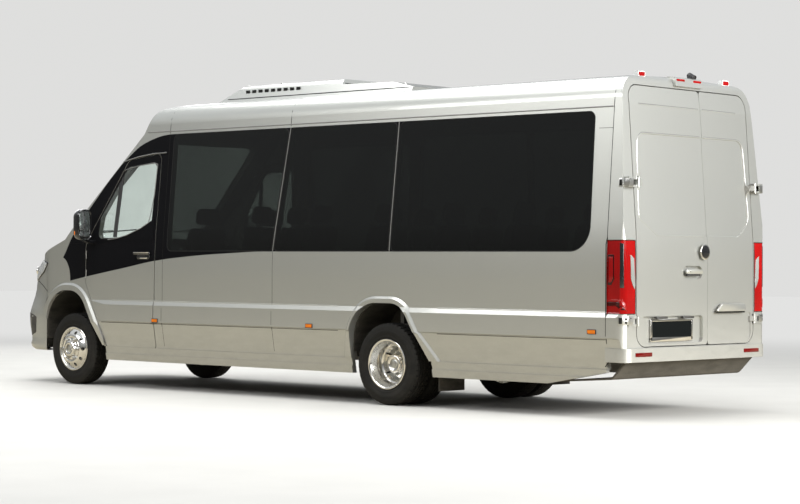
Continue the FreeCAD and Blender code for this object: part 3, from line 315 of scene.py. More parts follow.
# The black band in side view: its lower edge sweeps down to the front wheel arch, its upper
# edge follows the roof and the windscreen pillar. Rows are (along, height) in metres.
BAND_RANGE = (-4.0, 4.0)
BAND_LOW = ((-4.0, 1.322), (0.1, 1.322), (0.61, 1.306), (1.16, 1.277), (1.69, 1.229),
            (2.11, 1.164), (2.49, 1.106), (2.97, 1.030), (3.2, 0.99), (4.0, 0.9))
BAND_HIGH = ((-4.0, 2.443), (1.50, 2.443), (1.87, 2.385), (2.17, 2.226), (2.32, 2.108),
             (2.56, 1.880), (2.95, 1.462), (3.11, 1.250), (3.4, 1.0), (4.0, 0.9))
BAND_FRONT = ((0.9, 2.972), (1.03, 2.974), (1.10, 2.980), (1.17, 3.003), (1.25, 3.075),
              (1.30, 3.20), (1.60, 3.30), (2.60, 3.30))
BAND_REAR = -3.0


# Half width of the band's soft edge, and the least sideways facing of what it covers
BAND_EDGE = 0.0012
BAND_FACING = (0.45, 0.5)
BAND_HEIGHTS = (0.9, 2.6)
# The body's core line, which runs along at one height; faces turned to it carry the lining
CORE_ENDS = (-3.2, 1.6)
CORE_HEIGHT = 1.45


def make_band_group():
    """Mask of the black band on both sides of the body."""
    tree, _, out = group_tree("Side Band", [], [("Mask", "Float")])
    coords = add_node(tree, "TexCoord").outputs
    place = add_node(tree, "SeparateXYZ", Vector=coords["Object"]).outputs
    facing = add_node(tree, "SeparateXYZ", Vector=coords["Normal"]).outputs[1]
    along, height = place[0], place[2]

    def above(a, b):
        """Soft mask of where a is more than b."""
        return ramp(tree, maths(tree, "SUBTRACT", a, b), -BAND_EDGE, BAND_EDGE)

    mask = above(height, curve_value(tree, along, *BAND_RANGE, BAND_LOW, 3.0))
    for share in (
        above(curve_value(tree, along, *BAND_RANGE, BAND_HIGH, 3.0), height),
        above(curve_value(tree, height, *BAND_HEIGHTS, BAND_FRONT, 4.0), along),
        above(along, BAND_REAR),
        ramp(tree, maths(tree, "ABSOLUTE", facing), *BAND_FACING),
    ):
        mask = maths(tree, "MULTIPLY", mask, share)
    give(tree, out, Mask=mask)
    return tree


def make_inside_group():
    """Mask of the faces that look into the body, which carry the lining."""
    tree, _, out = group_tree("Inner Faces", [], [("Mask", "Float")])
    coords = add_node(tree, "TexCoord").outputs
    x, y, z = add_node(tree, "SeparateXYZ", Vector=coords["Object"]).outputs[:3]
    core_x = maths(tree, "MINIMUM", maths(tree, "MAXIMUM", x, CORE_ENDS[0]), CORE_ENDS[1])
    outward = add_node(tree, "CombineXYZ", X=maths(tree, "SUBTRACT", x, core_x),
                       Y=y, Z=maths(tree, "SUBTRACT", z, CORE_HEIGHT)).outputs[0]
    outward = add_node(tree, "VectorMath", {"operation": "NORMALIZE"}, i0=outward).outputs[0]
    facing = add_node(tree, "VectorMath", {"operation": "DOT_PRODUCT"},
                      i0=outward, i1=coords["Normal"]).outputs["Value"]
    give(tree, out, Mask=ramp(tree, facing, -0.12, -0.2))
    return tree


def make_brushed_group():
    """Tone and fine lines of turned or rolled metal."""
    tree, given, out = group_tree(
        "Worked Metal",
        [("Colour", "Color", (0.7, 0.7, 0.7, 1)), ("Roughness", "Float", 0.3),
         ("Scale", "Float", 60.0), ("Depth", "Float", 0.0003)],
        [("Colour", "Color"), ("Roughness", "Float"), ("Normal", "Vector")])
    place = object_place(tree)
    lines = add_node(tree, "TexNoise", Vector=place, Scale=given["Scale"], Detail=5.0).outputs[0]
    stains = add_node(tree, "TexNoise", Vector=place, Scale=4.0, Detail=4.0).outputs[0]
    tone = maths(tree, "ADD", maths(tree, "MULTIPLY", lines, 0.25),
                 maths(tree, "ADD", maths(tree, "MULTIPLY", stains, 0.3), 0.73))
    colour = add_node(tree, "HueSaturation", Color=given["Colour"], Value=tone).outputs[0]
    rough = maths(tree, "MULTIPLY", given["Roughness"],
                  maths(tree, "ADD", maths(tree, "MULTIPLY", stains, 0.8), 0.6))
    bump = add_node(tree, "Bump", Strength=0.25, Distance=given["Depth"], Height=lines)
    give(tree, out, Colour=colour, Roughness=rough, Normal=bump.outputs[0])
    return tree


def make_weave_group():
    """Over-and-under weave of seat cloth, with colour that drifts from thread to thread."""
    tree, given, out = group_tree(
        "Cloth Weave",
        [("Colour", "Color", (0.1, 0.1, 0.1, 1)), ("Thread", "Color", (0.3, 0.3, 0.3, 1)),
         ("Scale", "Float", 260.0)],
        [("Colour", "Color"), ("Normal", "Vector")])
    place = object_place(tree)
    waves = []
    for direction in ("X", "Y", "Z"):
        waves.append(add_node(tree, "TexWave", {"bands_direction": direction}, Vector=place,
                              Scale=given["Scale"], Distortion=0.4).outputs["Fac"])
    weave = maths(tree, "MULTIPLY", maths(tree, "ADD", waves[0], waves[1]), waves[2])
    spots = add_node(tree, "TexNoise", Vector=place, Scale=120.0, Detail=2.0).outputs[0]
    share = maths(tree, "MULTIPLY", ramp(tree, spots, 0.45, 0.7), 0.35)
    colour = blend_colours(tree, share, given["Colour"], given["Thread"])
    bump = add_node(tree, "Bump", Strength=0.5, Distance=0.0006, Height=weave)
    give(tree, out, Colour=colour, Normal=bump.outputs[0])
    return tree


def make_ribs_group():
    """Moulded ribs and pillow optics behind a lamp's lens."""
    tree, given, out = group_tree(
        "Lens Optics",
        [("Colour", "Color", (0.6, 0.01, 0.01, 1)), ("Scale", "Float", 42.0),
         ("Depth", "Float", 0.002)],
        [("Colour", "Color"), ("Normal", "Vector")])
    place = object_place(tree)
    cells = add_node(tree, "TexVoronoi", {"distance": "CHEBYCHEV"}, Vector=place,
                     Scale=given["Scale"], Randomness=0.0)
    glow = add_node(tree, "TexNoise", Vector=place, Scale=5.0, Detail=1.0).outputs[0]
    tone = maths(tree, "ADD", maths(tree, "MULTIPLY", glow, 0.5),
                 maths(tree, "ADD", maths(tree, "MULTIPLY", cells.outputs["Distance"], 0.3), 0.6))
    colour = add_node(tree, "HueSaturation", Color=given["Colour"], Value=tone).outputs[0]
    bump = add_node(tree, "Bump", Strength=0.15, Distance=given["Depth"],
                    Height=cells.outputs["Distance"])
    give(tree, out, Colour=colour, Normal=bump.outputs[0])
    return tree


GROUP_MAKERS = {
    "grain": make_grain_group, "film": make_film_group, "flake": make_flake_group,
    "band": make_band_group, "inside": make_inside_group, "brushed": make_brushed_group,
    "weave": make_weave_group, "ribs": make_ribs_group,
}
groups = {}


def group(tree, name, **inputs):
    """The outputs of a shared effect placed in a material with its own values."""
    if name not in groups:
        groups[name] = GROUP_MAKERS[name]()
    node = tree.nodes.new("ShaderNodeGroup")
    node.node_tree = groups[name]
    for label, value in inputs.items():
        socket = node.inputs[label.replace("_", " ")]
        if isinstance(value, bpy.types.NodeSocket):
            tree.links.new(value, socket)
        else:
            socket.default_value = value
    return node.outputs


# Materials


def new_material(name):
    """A material with an empty Principled shader; returns it, its tree and the shader."""
    material = bpy.data.materials.new(name)
    material.use_nodes = True
    tree = material.node_tree
    shader = tree.nodes["Principled BSDF"]
    return material, tree, shader


def set_shader(tree, shader, **values):
    """Sets or links inputs of the Principled shader."""
    for name, value in values.items():
        socket = shader.inputs[name.replace("_", " ")]
        if isinstance(value, bpy.types.NodeSocket):
            tree.links.new(value, socket)
        else:
            socket.default_value = value


def paint_material(colours):
    """Silver metallic under clear coat, with the black band, road film and the lining."""
    material, tree, shader = new_material("silver_paint")
    flake = group(tree, "flake", Colour=rgba(colours.silver))
    band = group(tree, "band")["Mask"]
    inside = group(tree, "inside")["Mask"]
    painted = blend_colours(tree, band, flake["Colour"], rgba(colours.band))
    filmed = group(tree, "film", Colour=painted, Amount=0.42, Height=1.0)
    cloth = group(tree, "grain", Scale=900.0, Depth=0.0006, Strength=0.4)
    colour = blend_colours(tree, inside, filmed["Colour"], rgba(colours.lining))
    metal = maths(tree, "MULTIPLY", maths(tree, "SUBTRACT", 1.0, band), 0.78)
    metal = maths(tree, "MULTIPLY", metal, maths(tree, "SUBTRACT", 1.0, inside))
    metal = maths(tree, "MULTIPLY", metal, maths(tree, "SUBTRACT", 1.0, filmed["Film"]))
    rough = ramp(tree, band, 0.0, 1.0, 0.34, 0.08)
    rough = maths(tree, "ADD", rough, maths(tree, "MULTIPLY", filmed["Film"], 0.45))
    rough = maths(tree, "MAXIMUM", rough, maths(tree, "MULTIPLY", inside, 0.85))
    coat = maths(tree, "SUBTRACT", maths(tree, "SUBTRACT", 1.0, inside), band, clamp=True)
    normal = add_node(tree, "Mix", {"data_type": "VECTOR"}, i0=inside, i4=flake["Normal"],
                      i5=cloth["Normal"]).outputs[1]
    set_shader(tree, shader, Base_Color=colour, Metallic=metal, Roughness=rough,
               Coat_Weight=coat, Coat_Roughness=0.04, Normal=normal,
               Specular_IOR_Level=ramp(tree, band, 0.0, 1.0, 0.15, 0.06))
    return material


def glass_material(name, tint, specular):
    """Tinted sheet glass with a trace of dust in its gloss."""
    material, tree, shader = new_material(name)
    dust = add_node(tree, "TexNoise", Vector=object_place(tree), Scale=3.0, Detail=5.0).outputs[0]
    tone = maths(tree, "ADD", maths(tree, "MULTIPLY", dust, 0.16), 0.92)
    colour = add_node(tree, "HueSaturation", Color=rgba(tint), Value=tone).outputs[0]
    set_shader(tree, shader, Base_Color=colour, Roughness=ramp(tree, dust, 0.3, 0.8, 0.0, 0.03),
               Transmission_Weight=1.0, IOR=1.5, Specular_IOR_Level=specular)
    return material


def moulded_material(name, colour, roughness, scale, depth, film, coat, specular):
    """Moulded plastic or rubber with grain and a little dust."""
    material, tree, shader = new_material(name)
    grain = group(tree, "grain", Scale=scale, Depth=depth, Strength=0.35)
    filmed = group(tree, "film", Colour=rgba(colour), Amount=film, Height=1.3)
    shade = ramp(tree, grain["Grain"], 0.4, 1.4, 0.86, 1.12)
    tone = add_node(tree, "HueSaturation", Color=filmed["Colour"], Value=shade).outputs[0]
    rough = maths(tree, "ADD", maths(tree, "MULTIPLY", filmed["Film"], 0.3), roughness)
    set_shader(tree, shader, Base_Color=tone, Roughness=rough, Coat_Weight=coat,
               Coat_Roughness=0.05, Specular_IOR_Level=specular, Normal=grain["Normal"])
    return material


def tyre_material():
    """Black rubber, browner with dust on the tread and paler where the sidewall flexes."""
    material, tree, shader = new_material("tyre_rubber")
    grain = group(tree, "grain", Scale=260.0, Depth=0.0008, Strength=0.5)
    filmed = group(tree, "film", Colour=(0.008, 0.008, 0.0075, 1), Dust=(0.09, 0.08, 0.065, 1),
                   Amount=0.16, Height=1.1)
    rings = add_node(tree, "TexNoise", Vector=object_place(tree, (1, 14, 1)), Scale=7.0,
                     Detail=5.0).outputs[0]
    tone = add_node(tree, "HueSaturation", Color=filmed["Colour"],
                    Value=ramp(tree, rings, 0.3, 0.75, 0.75, 1.35)).outputs[0]
    set_shader(tree, shader, Base_Color=tone, Normal=grain["Normal"], Specular_IOR_Level=0.2,
               Roughness=ramp(tree, rings, 0.3, 0.8, 0.62, 0.88))
    return material


def metal_material(name, colour, roughness, scale, film):
    """Plated, polished or plain metal."""
    material, tree, shader = new_material(name)
    worked = group(tree, "brushed", Colour=rgba(colour), Roughness=roughness, Scale=scale)
    filmed = group(tree, "film", Colour=worked["Colour"], Amount=film, Height=1.2)
    metal = maths(tree, "SUBTRACT", 1.0, filmed["Film"])
    rough = maths(tree, "ADD", worked["Roughness"], maths(tree, "MULTIPLY", filmed["Film"], 0.5))
    set_shader(tree, shader, Base_Color=filmed["Colour"], Metallic=metal, Roughness=rough,
               Normal=worked["Normal"])
    return material


def lens_material(name, colour, transmission, scale=42.0, roughness=0.06):
    """Coloured lamp lens with moulded optics under a clear face."""
    material, tree, shader = new_material(name)
    optics = group(tree, "ribs", Colour=rgba(colour), Scale=scale)
    set_shader(tree, shader, Base_Color=optics["Colour"], Roughness=roughness,
               Transmission_Weight=transmission, Coat_Weight=0.35, Coat_Roughness=0.02,
               Specular_IOR_Level=0.2, Normal=optics["Normal"])
    return material


def cloth_material(name, colour, thread, scale=260.0):
    """Woven seat cloth."""
    material, tree, shader = new_material(name)
    weave = group(tree, "weave", Colour=rgba(colour), Thread=rgba(thread), Scale=scale)
    set_shader(tree, shader, Base_Color=weave["Colour"], Roughness=0.92, Normal=weave["Normal"],
               Sheen_Weight=0.25, Sheen_Roughness=0.5)
    return material


def sheet_floor_material():
    """Speckled vinyl floor."""
    material, tree, shader = new_material("floor_cover")
    place = object_place(tree)
    specks = add_node(tree, "TexVoronoi", Vector=place, Scale=240.0)
    tone = add_node(tree, "SeparateColor", Color=specks.outputs["Color"]).outputs[0]
    colour = blend_colours(tree, ramp(tree, tone, 0.72, 0.78), (0.06, 0.063, 0.068, 1),
                           (0.22, 0.22, 0.21, 1))
    grain = group(tree, "grain", Scale=700.0, Depth=0.0004)
    set_shader(tree, shader, Base_Color=colour, Roughness=0.55, Normal=grain["Normal"])
    return material


# Plain finishes: name, colour, roughness, grain scale, grain depth, film, coat, specular
MOULDED = (
    ("black_plastic", (0.017, 0.017, 0.018), 0.55, 520.0, 0.0006, 0.25, 0.0, 0.5),
    ("black_gloss", (0.006, 0.006, 0.007), 0.10, 900.0, 0.0001, 0.06, 1.0, 0.5),
    ("grey_paint", (0.20, 0.20, 0.19), 0.45, 300.0, 0.0005, 0.30, 0.0, 0.5),
    ("flap_rubber", (0.012, 0.012, 0.012), 0.72, 300.0, 0.0010, 0.30, 0.0, 0.25),
    ("seal_rubber", (0.010, 0.010, 0.010), 0.60, 700.0, 0.0003, 0.10, 0.0, 0.2),
    ("joint_shadow", (0.012, 0.012, 0.011), 0.70, 700.0, 0.0002, 0.05, 0.0, 0.1),
    ("gutter_grey", (0.17, 0.17, 0.165), 0.40, 500.0, 0.0003, 0.10, 0.0, 0.5),
    ("liner_plastic", (0.020, 0.020, 0.019), 0.75, 160.0, 0.0016, 0.35, 0.0, 0.15),
    ("white_plate", (0.004, 0.005, 0.005), 0.60, 600.0, 0.0002, 0.0, 0.0, 0.04),
    # Painted shade: the rear valance's dark grey-brown stands for the shadow under the rear of the
    # body, laid into the valance's colour
    ("underbody_coat", (0.060, 0.056, 0.048), 0.70, 220.0, 0.0012, 0.25, 0.0, 0.2),
    ("lamp_shell", (0.62, 0.63, 0.62), 0.30, 700.0, 0.0002, 0.05, 0.6, 0.5),
)
# Metals: name, colour, roughness, line scale, film
METALS = (
    ("chrome", (0.82, 0.80, 0.76), 0.055, 12.0, 0.05),
    ("wheel_steel", (0.62, 0.62, 0.60), 0.24, 50.0, 0.10),
    ("axle_steel", (0.045, 0.045, 0.045), 0.50, 40.0, 0.40),
    ("exhaust_steel", (0.30, 0.27, 0.24), 0.42, 30.0, 0.35),
    ("bolt_steel", (0.50, 0.50, 0.48), 0.30, 80.0, 0.10),
    ("mirror_silver", (0.86, 0.88, 0.88), 0.012, 5.0, 0.0),
)
materials = {}


def make_materials(colours):
    """Every material, by name."""
    materials["silver_paint"] = paint_material(colours)
    materials["privacy_glass"] = glass_material("privacy_glass", colours.privacy, 0.07)
    materials["clear_glass"] = glass_material("clear_glass", colours.cab_glass, 0.25)
    materials["tyre_rubber"] = tyre_material()
    materials["red_lens"] = lens_material("red_lens", colours.lens_red, 0.25)
    materials["reflector_red"] = lens_material("reflector_red", scaled(colours.lens_red, 0.35),
                                               0.1, 120.0)
    materials["reverse_lens"] = lens_material("reverse_lens", (0.34, 0.36, 0.34), 0.3, 90.0)
    materials["dark_lens"] = lens_material("dark_lens", scaled(colours.lens_red, 0.12), 0.1)
    materials["amber_lens"] = lens_material("amber_lens", colours.lens_amber, 0.2, 90.0)
    materials["clear_lens"] = lens_material("clear_lens", (0.86, 0.88, 0.88), 0.5, 60.0)
    materials["seat_fabric"] = cloth_material("seat_fabric", colours.cloth, (0.16, 0.19, 0.24))
    materials["seat_edge"] = cloth_material("seat_edge", scaled(colours.cloth, 0.5),
                                            (0.05, 0.05, 0.05), 420.0)
    materials["floor_cover"] = sheet_floor_material()
    for make, rows in ((moulded_material, MOULDED), (metal_material, METALS)):
        for name, *values in rows:
            materials[name] = make(name, *values)


# Meshes


def shade(mesh, angle=35.0):
    """Smooth shading that breaks at edges sharper than the angle."""
    bm = bmesh.new()
    bm.from_mesh(mesh)
    limit = math.radians(angle)
    for face in bm.faces:
        face.smooth = True
    for edge in bm.edges:
        edge.smooth = not (len(edge.link_faces) == 2 and edge.calc_face_angle() > limit)
    bm.to_mesh(mesh)
    bm.free()


def place_object(name, mesh, body, material, angle=35.0):
    """A finished piece in the scene, riding on a body."""
    shade(mesh, angle)
    obj = bpy.data.objects.new(name, mesh)
    bpy.context.scene.collection.objects.link(obj)
    if not mesh.materials:
        mesh.materials.append(materials[material])
    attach(obj, body)
    return obj


class Shape:
    """Points and faces gathered from several simple forms into one mesh."""

    def __init__(self):
        self.verts = []
        self.faces = []
        self.marks = []

    def add(self, verts, faces, mark=0):
        """Points and faces as they are; mark is the number of the faces' material."""
        start = len(self.verts)
        self.verts += [Vector(v) for v in verts]
        self.faces += [[start + i for i in face] for face in faces]
        self.marks += [mark] * len(faces)

    def strip(self, rows, closed=False, loop=False, mark=0):
        """Quads between rows of points; closed joins each row's ends, loop the rows'."""
        count = len(rows[0])
        faces = []
        for r in range(len(rows) if loop else len(rows) - 1):
            here, there = r * count, (r + 1) % len(rows) * count
            for c in range(count if closed else count - 1):
                d = (c + 1) % count
                faces.append([here + c, here + d, there + d, there + c])
        self.add([p for row in rows for p in row], faces, mark)

    def cap(self, row, mark=0):
        """One face that closes a row."""
        self.add(row, [list(range(len(row)))], mark)

    def box(self, low, high, mark=0):
        """A box between two corners."""
        x0, y0, z0 = low
        x1, y1, z1 = high
        corners = [(x0, y0), (x1, y0), (x1, y1), (x0, y1)]
        rows = [[(x, y, z) for x, y in corners] for z in (z0, z1)]
        self.strip(rows, closed=True, mark=mark)
        self.cap(rows[0][::-1], mark)
        self.cap(rows[1], mark)

    def mesh(self, name, used=()):
        """The gathered mesh, its doubled points merged and its faces turned outwards."""
        mesh = bpy.data.meshes.new(name)
        mesh.from_pydata([tuple(v) for v in self.verts], [], self.faces)
        for material in used:
            mesh.materials.append(materials[material])
        if used:
            mesh.polygons.foreach_set("material_index", self.marks)
        bm = bmesh.new()
        bm.from_mesh(mesh)
        bmesh.ops.remove_doubles(bm, verts=bm.verts, dist=1e-6)
        bmesh.ops.recalc_face_normals(bm, faces=bm.faces)
        bm.to_mesh(mesh)
        bm.free()
        return mesh


def ring(radius, along, steps, centre=(0, 0, 0), side=1):
    """Points of a circle about Y."""
    turn = 2 * math.pi / steps
    return [Vector((centre[0] + radius * math.cos(i * turn), centre[1] + side * along,
                    centre[2] + radius * math.sin(i * turn))) for i in range(steps)]


def lathe(shape, profile, centre, side=1, steps=64, closed=False):
    """Turns a profile of (radius, along) about the Y axis through a centre."""
    rows = [ring(radius, along, steps, centre, side) for radius, along in profile]
    shape.strip(rows, closed=True, loop=closed)


def rounded_path(corners, steps=6):
    """Points of a closed outline whose corners are (a, b, radius)."""
    points = []
    count = len(corners)
    for i, (a, b, radius) in enumerate(corners):
        here = Vector((a, b))
        back = (Vector(corners[i - 1][:2]) - here).normalized()
        ahead = (Vector(corners[(i + 1) % count][:2]) - here).normalized()
        if not radius:
            points.append(here)
            continue
        half = back.angle(ahead) / 2
        centre = here + (back + ahead).normalized() * (radius / math.sin(half))
        start = (here + back * (radius / math.tan(half)) - centre).normalized()
        end = (here + ahead * (radius / math.tan(half)) - centre).normalized()
        for k in range(steps + 1):
            points.append(centre + start.slerp(end, k / steps, start) * radius)
    return points


def slab(shape, outline, to_point, low, high, round_edge=0.0):
    """A plate of an outline between two depths, its outer edge rounded off.
    to_point turns (a, b, depth) into a place."""
    rows = [[to_point(a, b, low) for a, b in outline]]
    if round_edge:
        middle_point = sum((Vector(p) for p in outline), Vector((0, 0))) / len(outline)
        for share in (0.0, 0.3, 0.65, 1.0):
            lift = high - round_edge * (1 - math.sin(share * math.pi / 2))
            inset = round_edge * (1 - math.cos(share * math.pi / 2))
            shrunk = [Vector(p) - (Vector(p) - middle_point).normalized() * inset
                      for p in outline]
            rows.append([to_point(a, b, lift) for a, b in shrunk])
    else:
        rows.append([to_point(a, b, high) for a, b in outline])
    shape.strip(rows, closed=True)
    shape.cap(rows[0][::-1])
    shape.cap(rows[-1])


def tube_curve(name, points, radius, body, material, closed=False):
    """A round rubber or metal strip along points."""
    curve = bpy.data.curves.new(name, "CURVE")
    curve.dimensions = "3D"
    spline = curve.splines.new("POLY")
    spline.points.add(len(points) - 1)
    for point, place in zip(spline.points, points):
        point.co = (*place, 1.0)
    spline.use_cyclic_u = closed
    curve.bevel_depth = radius
    curve.bevel_resolution = 2
    curve.use_fill_caps = not closed
    holder = bpy.data.objects.new(name + "_path", curve)
    mesh = bpy.data.meshes.new_from_object(holder)
    mesh.name = name
    mesh.materials.clear()
    bpy.data.objects.remove(holder)
    return place_object(name, mesh, body, material, angle=60)


skins = {}


def skin(*nodes):
    """Search tree over the faces of some CAD nodes."""
    if nodes not in skins:
        verts, faces = [], []
        for node in nodes:
            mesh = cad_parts[node].data
            start = len(verts)
            verts += [v.co.copy() for v in mesh.vertices]
            faces += [[start + i for i in p.vertices] for p in mesh.polygons]
        skins[nodes] = BVHTree.FromPolygons(verts, faces)
    return skins[nodes]


def hit(tree, start, direction, fallback=None):
    """First point of a surface along a direction, or the fallback."""
    place, _, _, _ = tree.ray_cast(Vector(start), Vector(direction))
    return place if place is not None else fallback


def hits(tree, starts, direction):
    """The points that rays from several starts find, without those that miss."""
    places = [hit(tree, start, direction) for start in starts]
    return [place for place in places if place is not None]


def side_point(tree, x, z, side, lift=0.0):
    """Point of the body's side at a place along and up, lifted off its surface."""
    place = hit(tree, (x, side * CLEAR_ASIDE, z), (0, -side, 0))
    if place is None:
        return Vector((x, side * HALF, z))
    return place + Vector((0, side * lift, 0))


def side_body():
    """The whole outer side of the body."""
    return skin("side_wall_left", "side_wall_right", "sliding_door", "cab_frame", "driver_door",
                "passenger_door", "front_wings", "roof_panel", "rear_frame", "side_skirts",
                "side_glass_left", "side_glass_right", "driver_door_glass",
                "passenger_door_glass", "front_bumper")


# CAD nodes and the finish each one carries
FINISHES = {
    "silver_paint": (
        "side_wall_left", "side_wall_right", "sliding_door", "roof_panel", "cab_frame",
        "front_wings", "driver_door", "passenger_door", "bonnet", "front_bumper",
        "rear_frame", "rear_door_left", "rear_door_right", "rear_bumper", "side_skirts",
        "roof_air_unit", "rear_camera"),
    # The rear valance carries painted shade: a dark grey-brown for the shadow under the body's
    # tail
    "underbody_coat": ("rear_valance",),
    "lamp_shell": ("roof_marker_lamps",),
    "privacy_glass": ("side_glass_left", "side_glass_right"),
    "clear_glass": ("driver_door_glass", "passenger_door_glass", "windscreen"),
    "black_plastic": ("dashboard", "steering_wheel", "grille"),
    "liner_plastic": ("wheel_housings", "fuel_tank"),
    "flap_rubber": ("mud_flaps",),
    "red_lens": ("tail_lamps",),
    "amber_lens": ("side_marker_lamps",),
    "clear_lens": ("headlamps",),
    "wheel_steel": ("rim_front_left", "rim_front_right", "rims_rear_left", "rims_rear_right"),
    "axle_steel": ("knuckle_left", "knuckle_right", "front_axle", "rear_axle", "leaf_springs",
                   "chassis_frame", "engine_block", "propeller_shaft"),
    "exhaust_steel": ("exhaust",),
    "floor_cover": ("floor_pan",),
    "white_plate": ("number_plate",),
    "seat_fabric": ("cab_seats", "passenger_seats"),
    "tyre_rubber": ("tyre_front_left", "tyre_front_right", "tyres_rear_left",
                    "tyres_rear_right"),
    "black_gloss": ("mirror_left", "mirror_right"),
}


def finish_nodes():
    """Gives each CAD node its material."""
    for material, nodes in FINISHES.items():
        for name in nodes:
            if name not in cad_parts:
                continue
            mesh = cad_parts[name].data
            mesh.materials.clear()
            mesh.materials.append(materials[material])


# Wheels

BEAD_RADIUS = 0.2034
# Where a tread block starts and ends in its pitch, with the depth of the cross groove there
TREAD_STATIONS = ((0.0, 0.0), (0.74, 0.0), (0.80, 1.0), (0.94, 1.0))
TREAD_LEAN = 0.018


def tyre_rings(depth):
    """Half section of a tyre from bead to middle: (radius, along, share of the cross groove)."""
    r, w, bead = TYRE_RADIUS, TYRE_HALF, BEAD_RADIUS
    side_rows = [
        (bead, w - 0.0178), (bead + 0.005, w - 0.0164), (bead + 0.0155, w - 0.0164),
        (bead + 0.021, w - 0.0105), (bead + 0.030, w - 0.0035), (bead + 0.037, w - 0.0012),
        (bead + 0.039, w - 0.0026), (bead + 0.056, w - 0.0010), (bead + 0.058, w),
        (bead + 0.086, w - 0.0004), (bead + 0.088, w - 0.0018), (r - 0.040, w - 0.0040),
        (r - 0.026, w - 0.0085), (r - 0.024, w - 0.0110), (r - 0.013, w - 0.0155),
    ]
    rows = [(radius, along, 0.0) for radius, along in side_rows]
    crown = r - 0.004
    tread = [
        (crown - 0.001, w - 0.0215, 1.0), (crown + 0.001, w - 0.030, 1.0),
        (crown + 0.0022, 0.0540, 1.0), (crown + 0.0022 - depth, 0.0530, 0.0),
        (crown + 0.0022 - depth, 0.0450, 0.0), (crown + 0.0026, 0.0440, 0.6),
        (crown + 0.0034, 0.0200, 0.6), (crown + 0.0034 - depth, 0.0190, 0.0),
        (crown + 0.0034 - depth, 0.0110, 0.0), (crown + 0.0036, 0.0100, 0.25),
        (crown + 0.0038, 0.0, 0.25),
    ]
    return rows + tread


def add_tyre(shape, centre, sizes):
    """One tyre with ribbed tread, cross grooves and a ringed sidewall."""
    half = tyre_rings(sizes.tread_depth)
    section = half + [(r, -y, g) for r, y, g in reversed(half[:-1])]
    columns = []
    for pitch in range(sizes.tread_pitches):
        for start, cut in TREAD_STATIONS:
            angle = 2 * math.pi * (pitch + start) / sizes.tread_pitches
            column = []
            for radius, along, share in section:
                lean = TREAD_LEAN * abs(along) / TYRE_HALF if share else 0.0
                reach = radius - cut * share * sizes.tread_depth
                column.append((centre.x + reach * math.cos(angle + lean), centre.y + along,
                               centre.z + reach * math.sin(angle + lean)))
            columns.append(column)
    shape.strip(columns, loop=True)


def build_tyres(sizes):
    """Six tyres in place of the plain ones."""
    for word, side in SIDES:
        rows = (
            ("tyre_front_" + word, "wheel_front_" + word, FRONT_AXLE, (FRONT_WHEEL.y,)),
            ("tyres_rear_" + word, "wheels_rear_" + word, REAR_AXLE, (TWIN_INNER, TWIN_OUTER)),
        )
        for node, body, x, places in rows:
            shape = Shape()
            for y in places:
                add_tyre(shape, Vector((x, side * y, AXLE_Z)), sizes)
            tyre = place_object("treaded_" + node, shape.mesh(node + "_tread"), body,
                                "tyre_rubber", angle=28)
            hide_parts(node)


def add_nut(shape, centre, side, radius, height):
    """A hexagon nut with a flange and a domed end, its axis along Y."""
    lathe(shape, [(radius * 1.35, 0), (radius * 1.35, 0.003), (radius * 1.1, 0.005)],
          centre, side, 18)
    rows = [ring(radius * 1.12, along, 6, centre, side) for along in (0.002, height * 0.7)]
    rows.append(ring(radius * 0.98, height * 0.78, 6, centre, side))
    shape.strip(rows, closed=True)
    shape.cap(rows[-1])
    dome = [(radius * 0.72, height * 0.78), (radius * 0.66, height * 0.92),
            (radius * 0.4, height), (0.0002, height * 1.03)]
    lathe(shape, dome, centre, side, 12)


def cut_holes(obj, circle, radius, count, centre, side, low, high):
    """Cuts round holes through a turned piece, parallel to its axis."""
    cutter = Shape()
    for i in range(count):
        angle = 2 * math.pi * i / count
        place = (centre.x + circle * math.cos(angle), centre.y,
                 centre.z + circle * math.sin(angle))
        rows = [ring(radius, along, 20, place, side) for along in (low, high)]
        cutter.strip(rows, closed=True)
        cutter.cap(rows[0][::-1])
        cutter.cap(rows[1])
    tool = bpy.data.objects.new("hole_cutter", cutter.mesh("hole_cutter"))
    bpy.context.scene.collection.objects.link(tool)
    for mesh in (obj.data, tool.data):
        bm = bmesh.new()
        bm.from_mesh(mesh)
        bmesh.ops.remove_doubles(bm, verts=bm.verts, dist=1e-5)
        bmesh.ops.recalc_face_normals(bm, faces=bm.faces)
        bm.to_mesh(mesh)
        bm.free()
    modifier = obj.modifiers.new("Holes", "BOOLEAN")
    modifier.operation = "DIFFERENCE"
    modifier.solver = "EXACT"
    modifier.use_self = True
    modifier.object = tool
    bpy.context.view_layer.update()
    evaluated = obj.evaluated_get(bpy.context.evaluated_depsgraph_get())
    mesh = bpy.data.meshes.new_from_object(evaluated)
    obj.modifiers.clear()
    old = obj.data
    obj.data = mesh
    bpy.data.meshes.remove(old)
    bpy.data.objects.remove(tool)
    shade(mesh, 40)


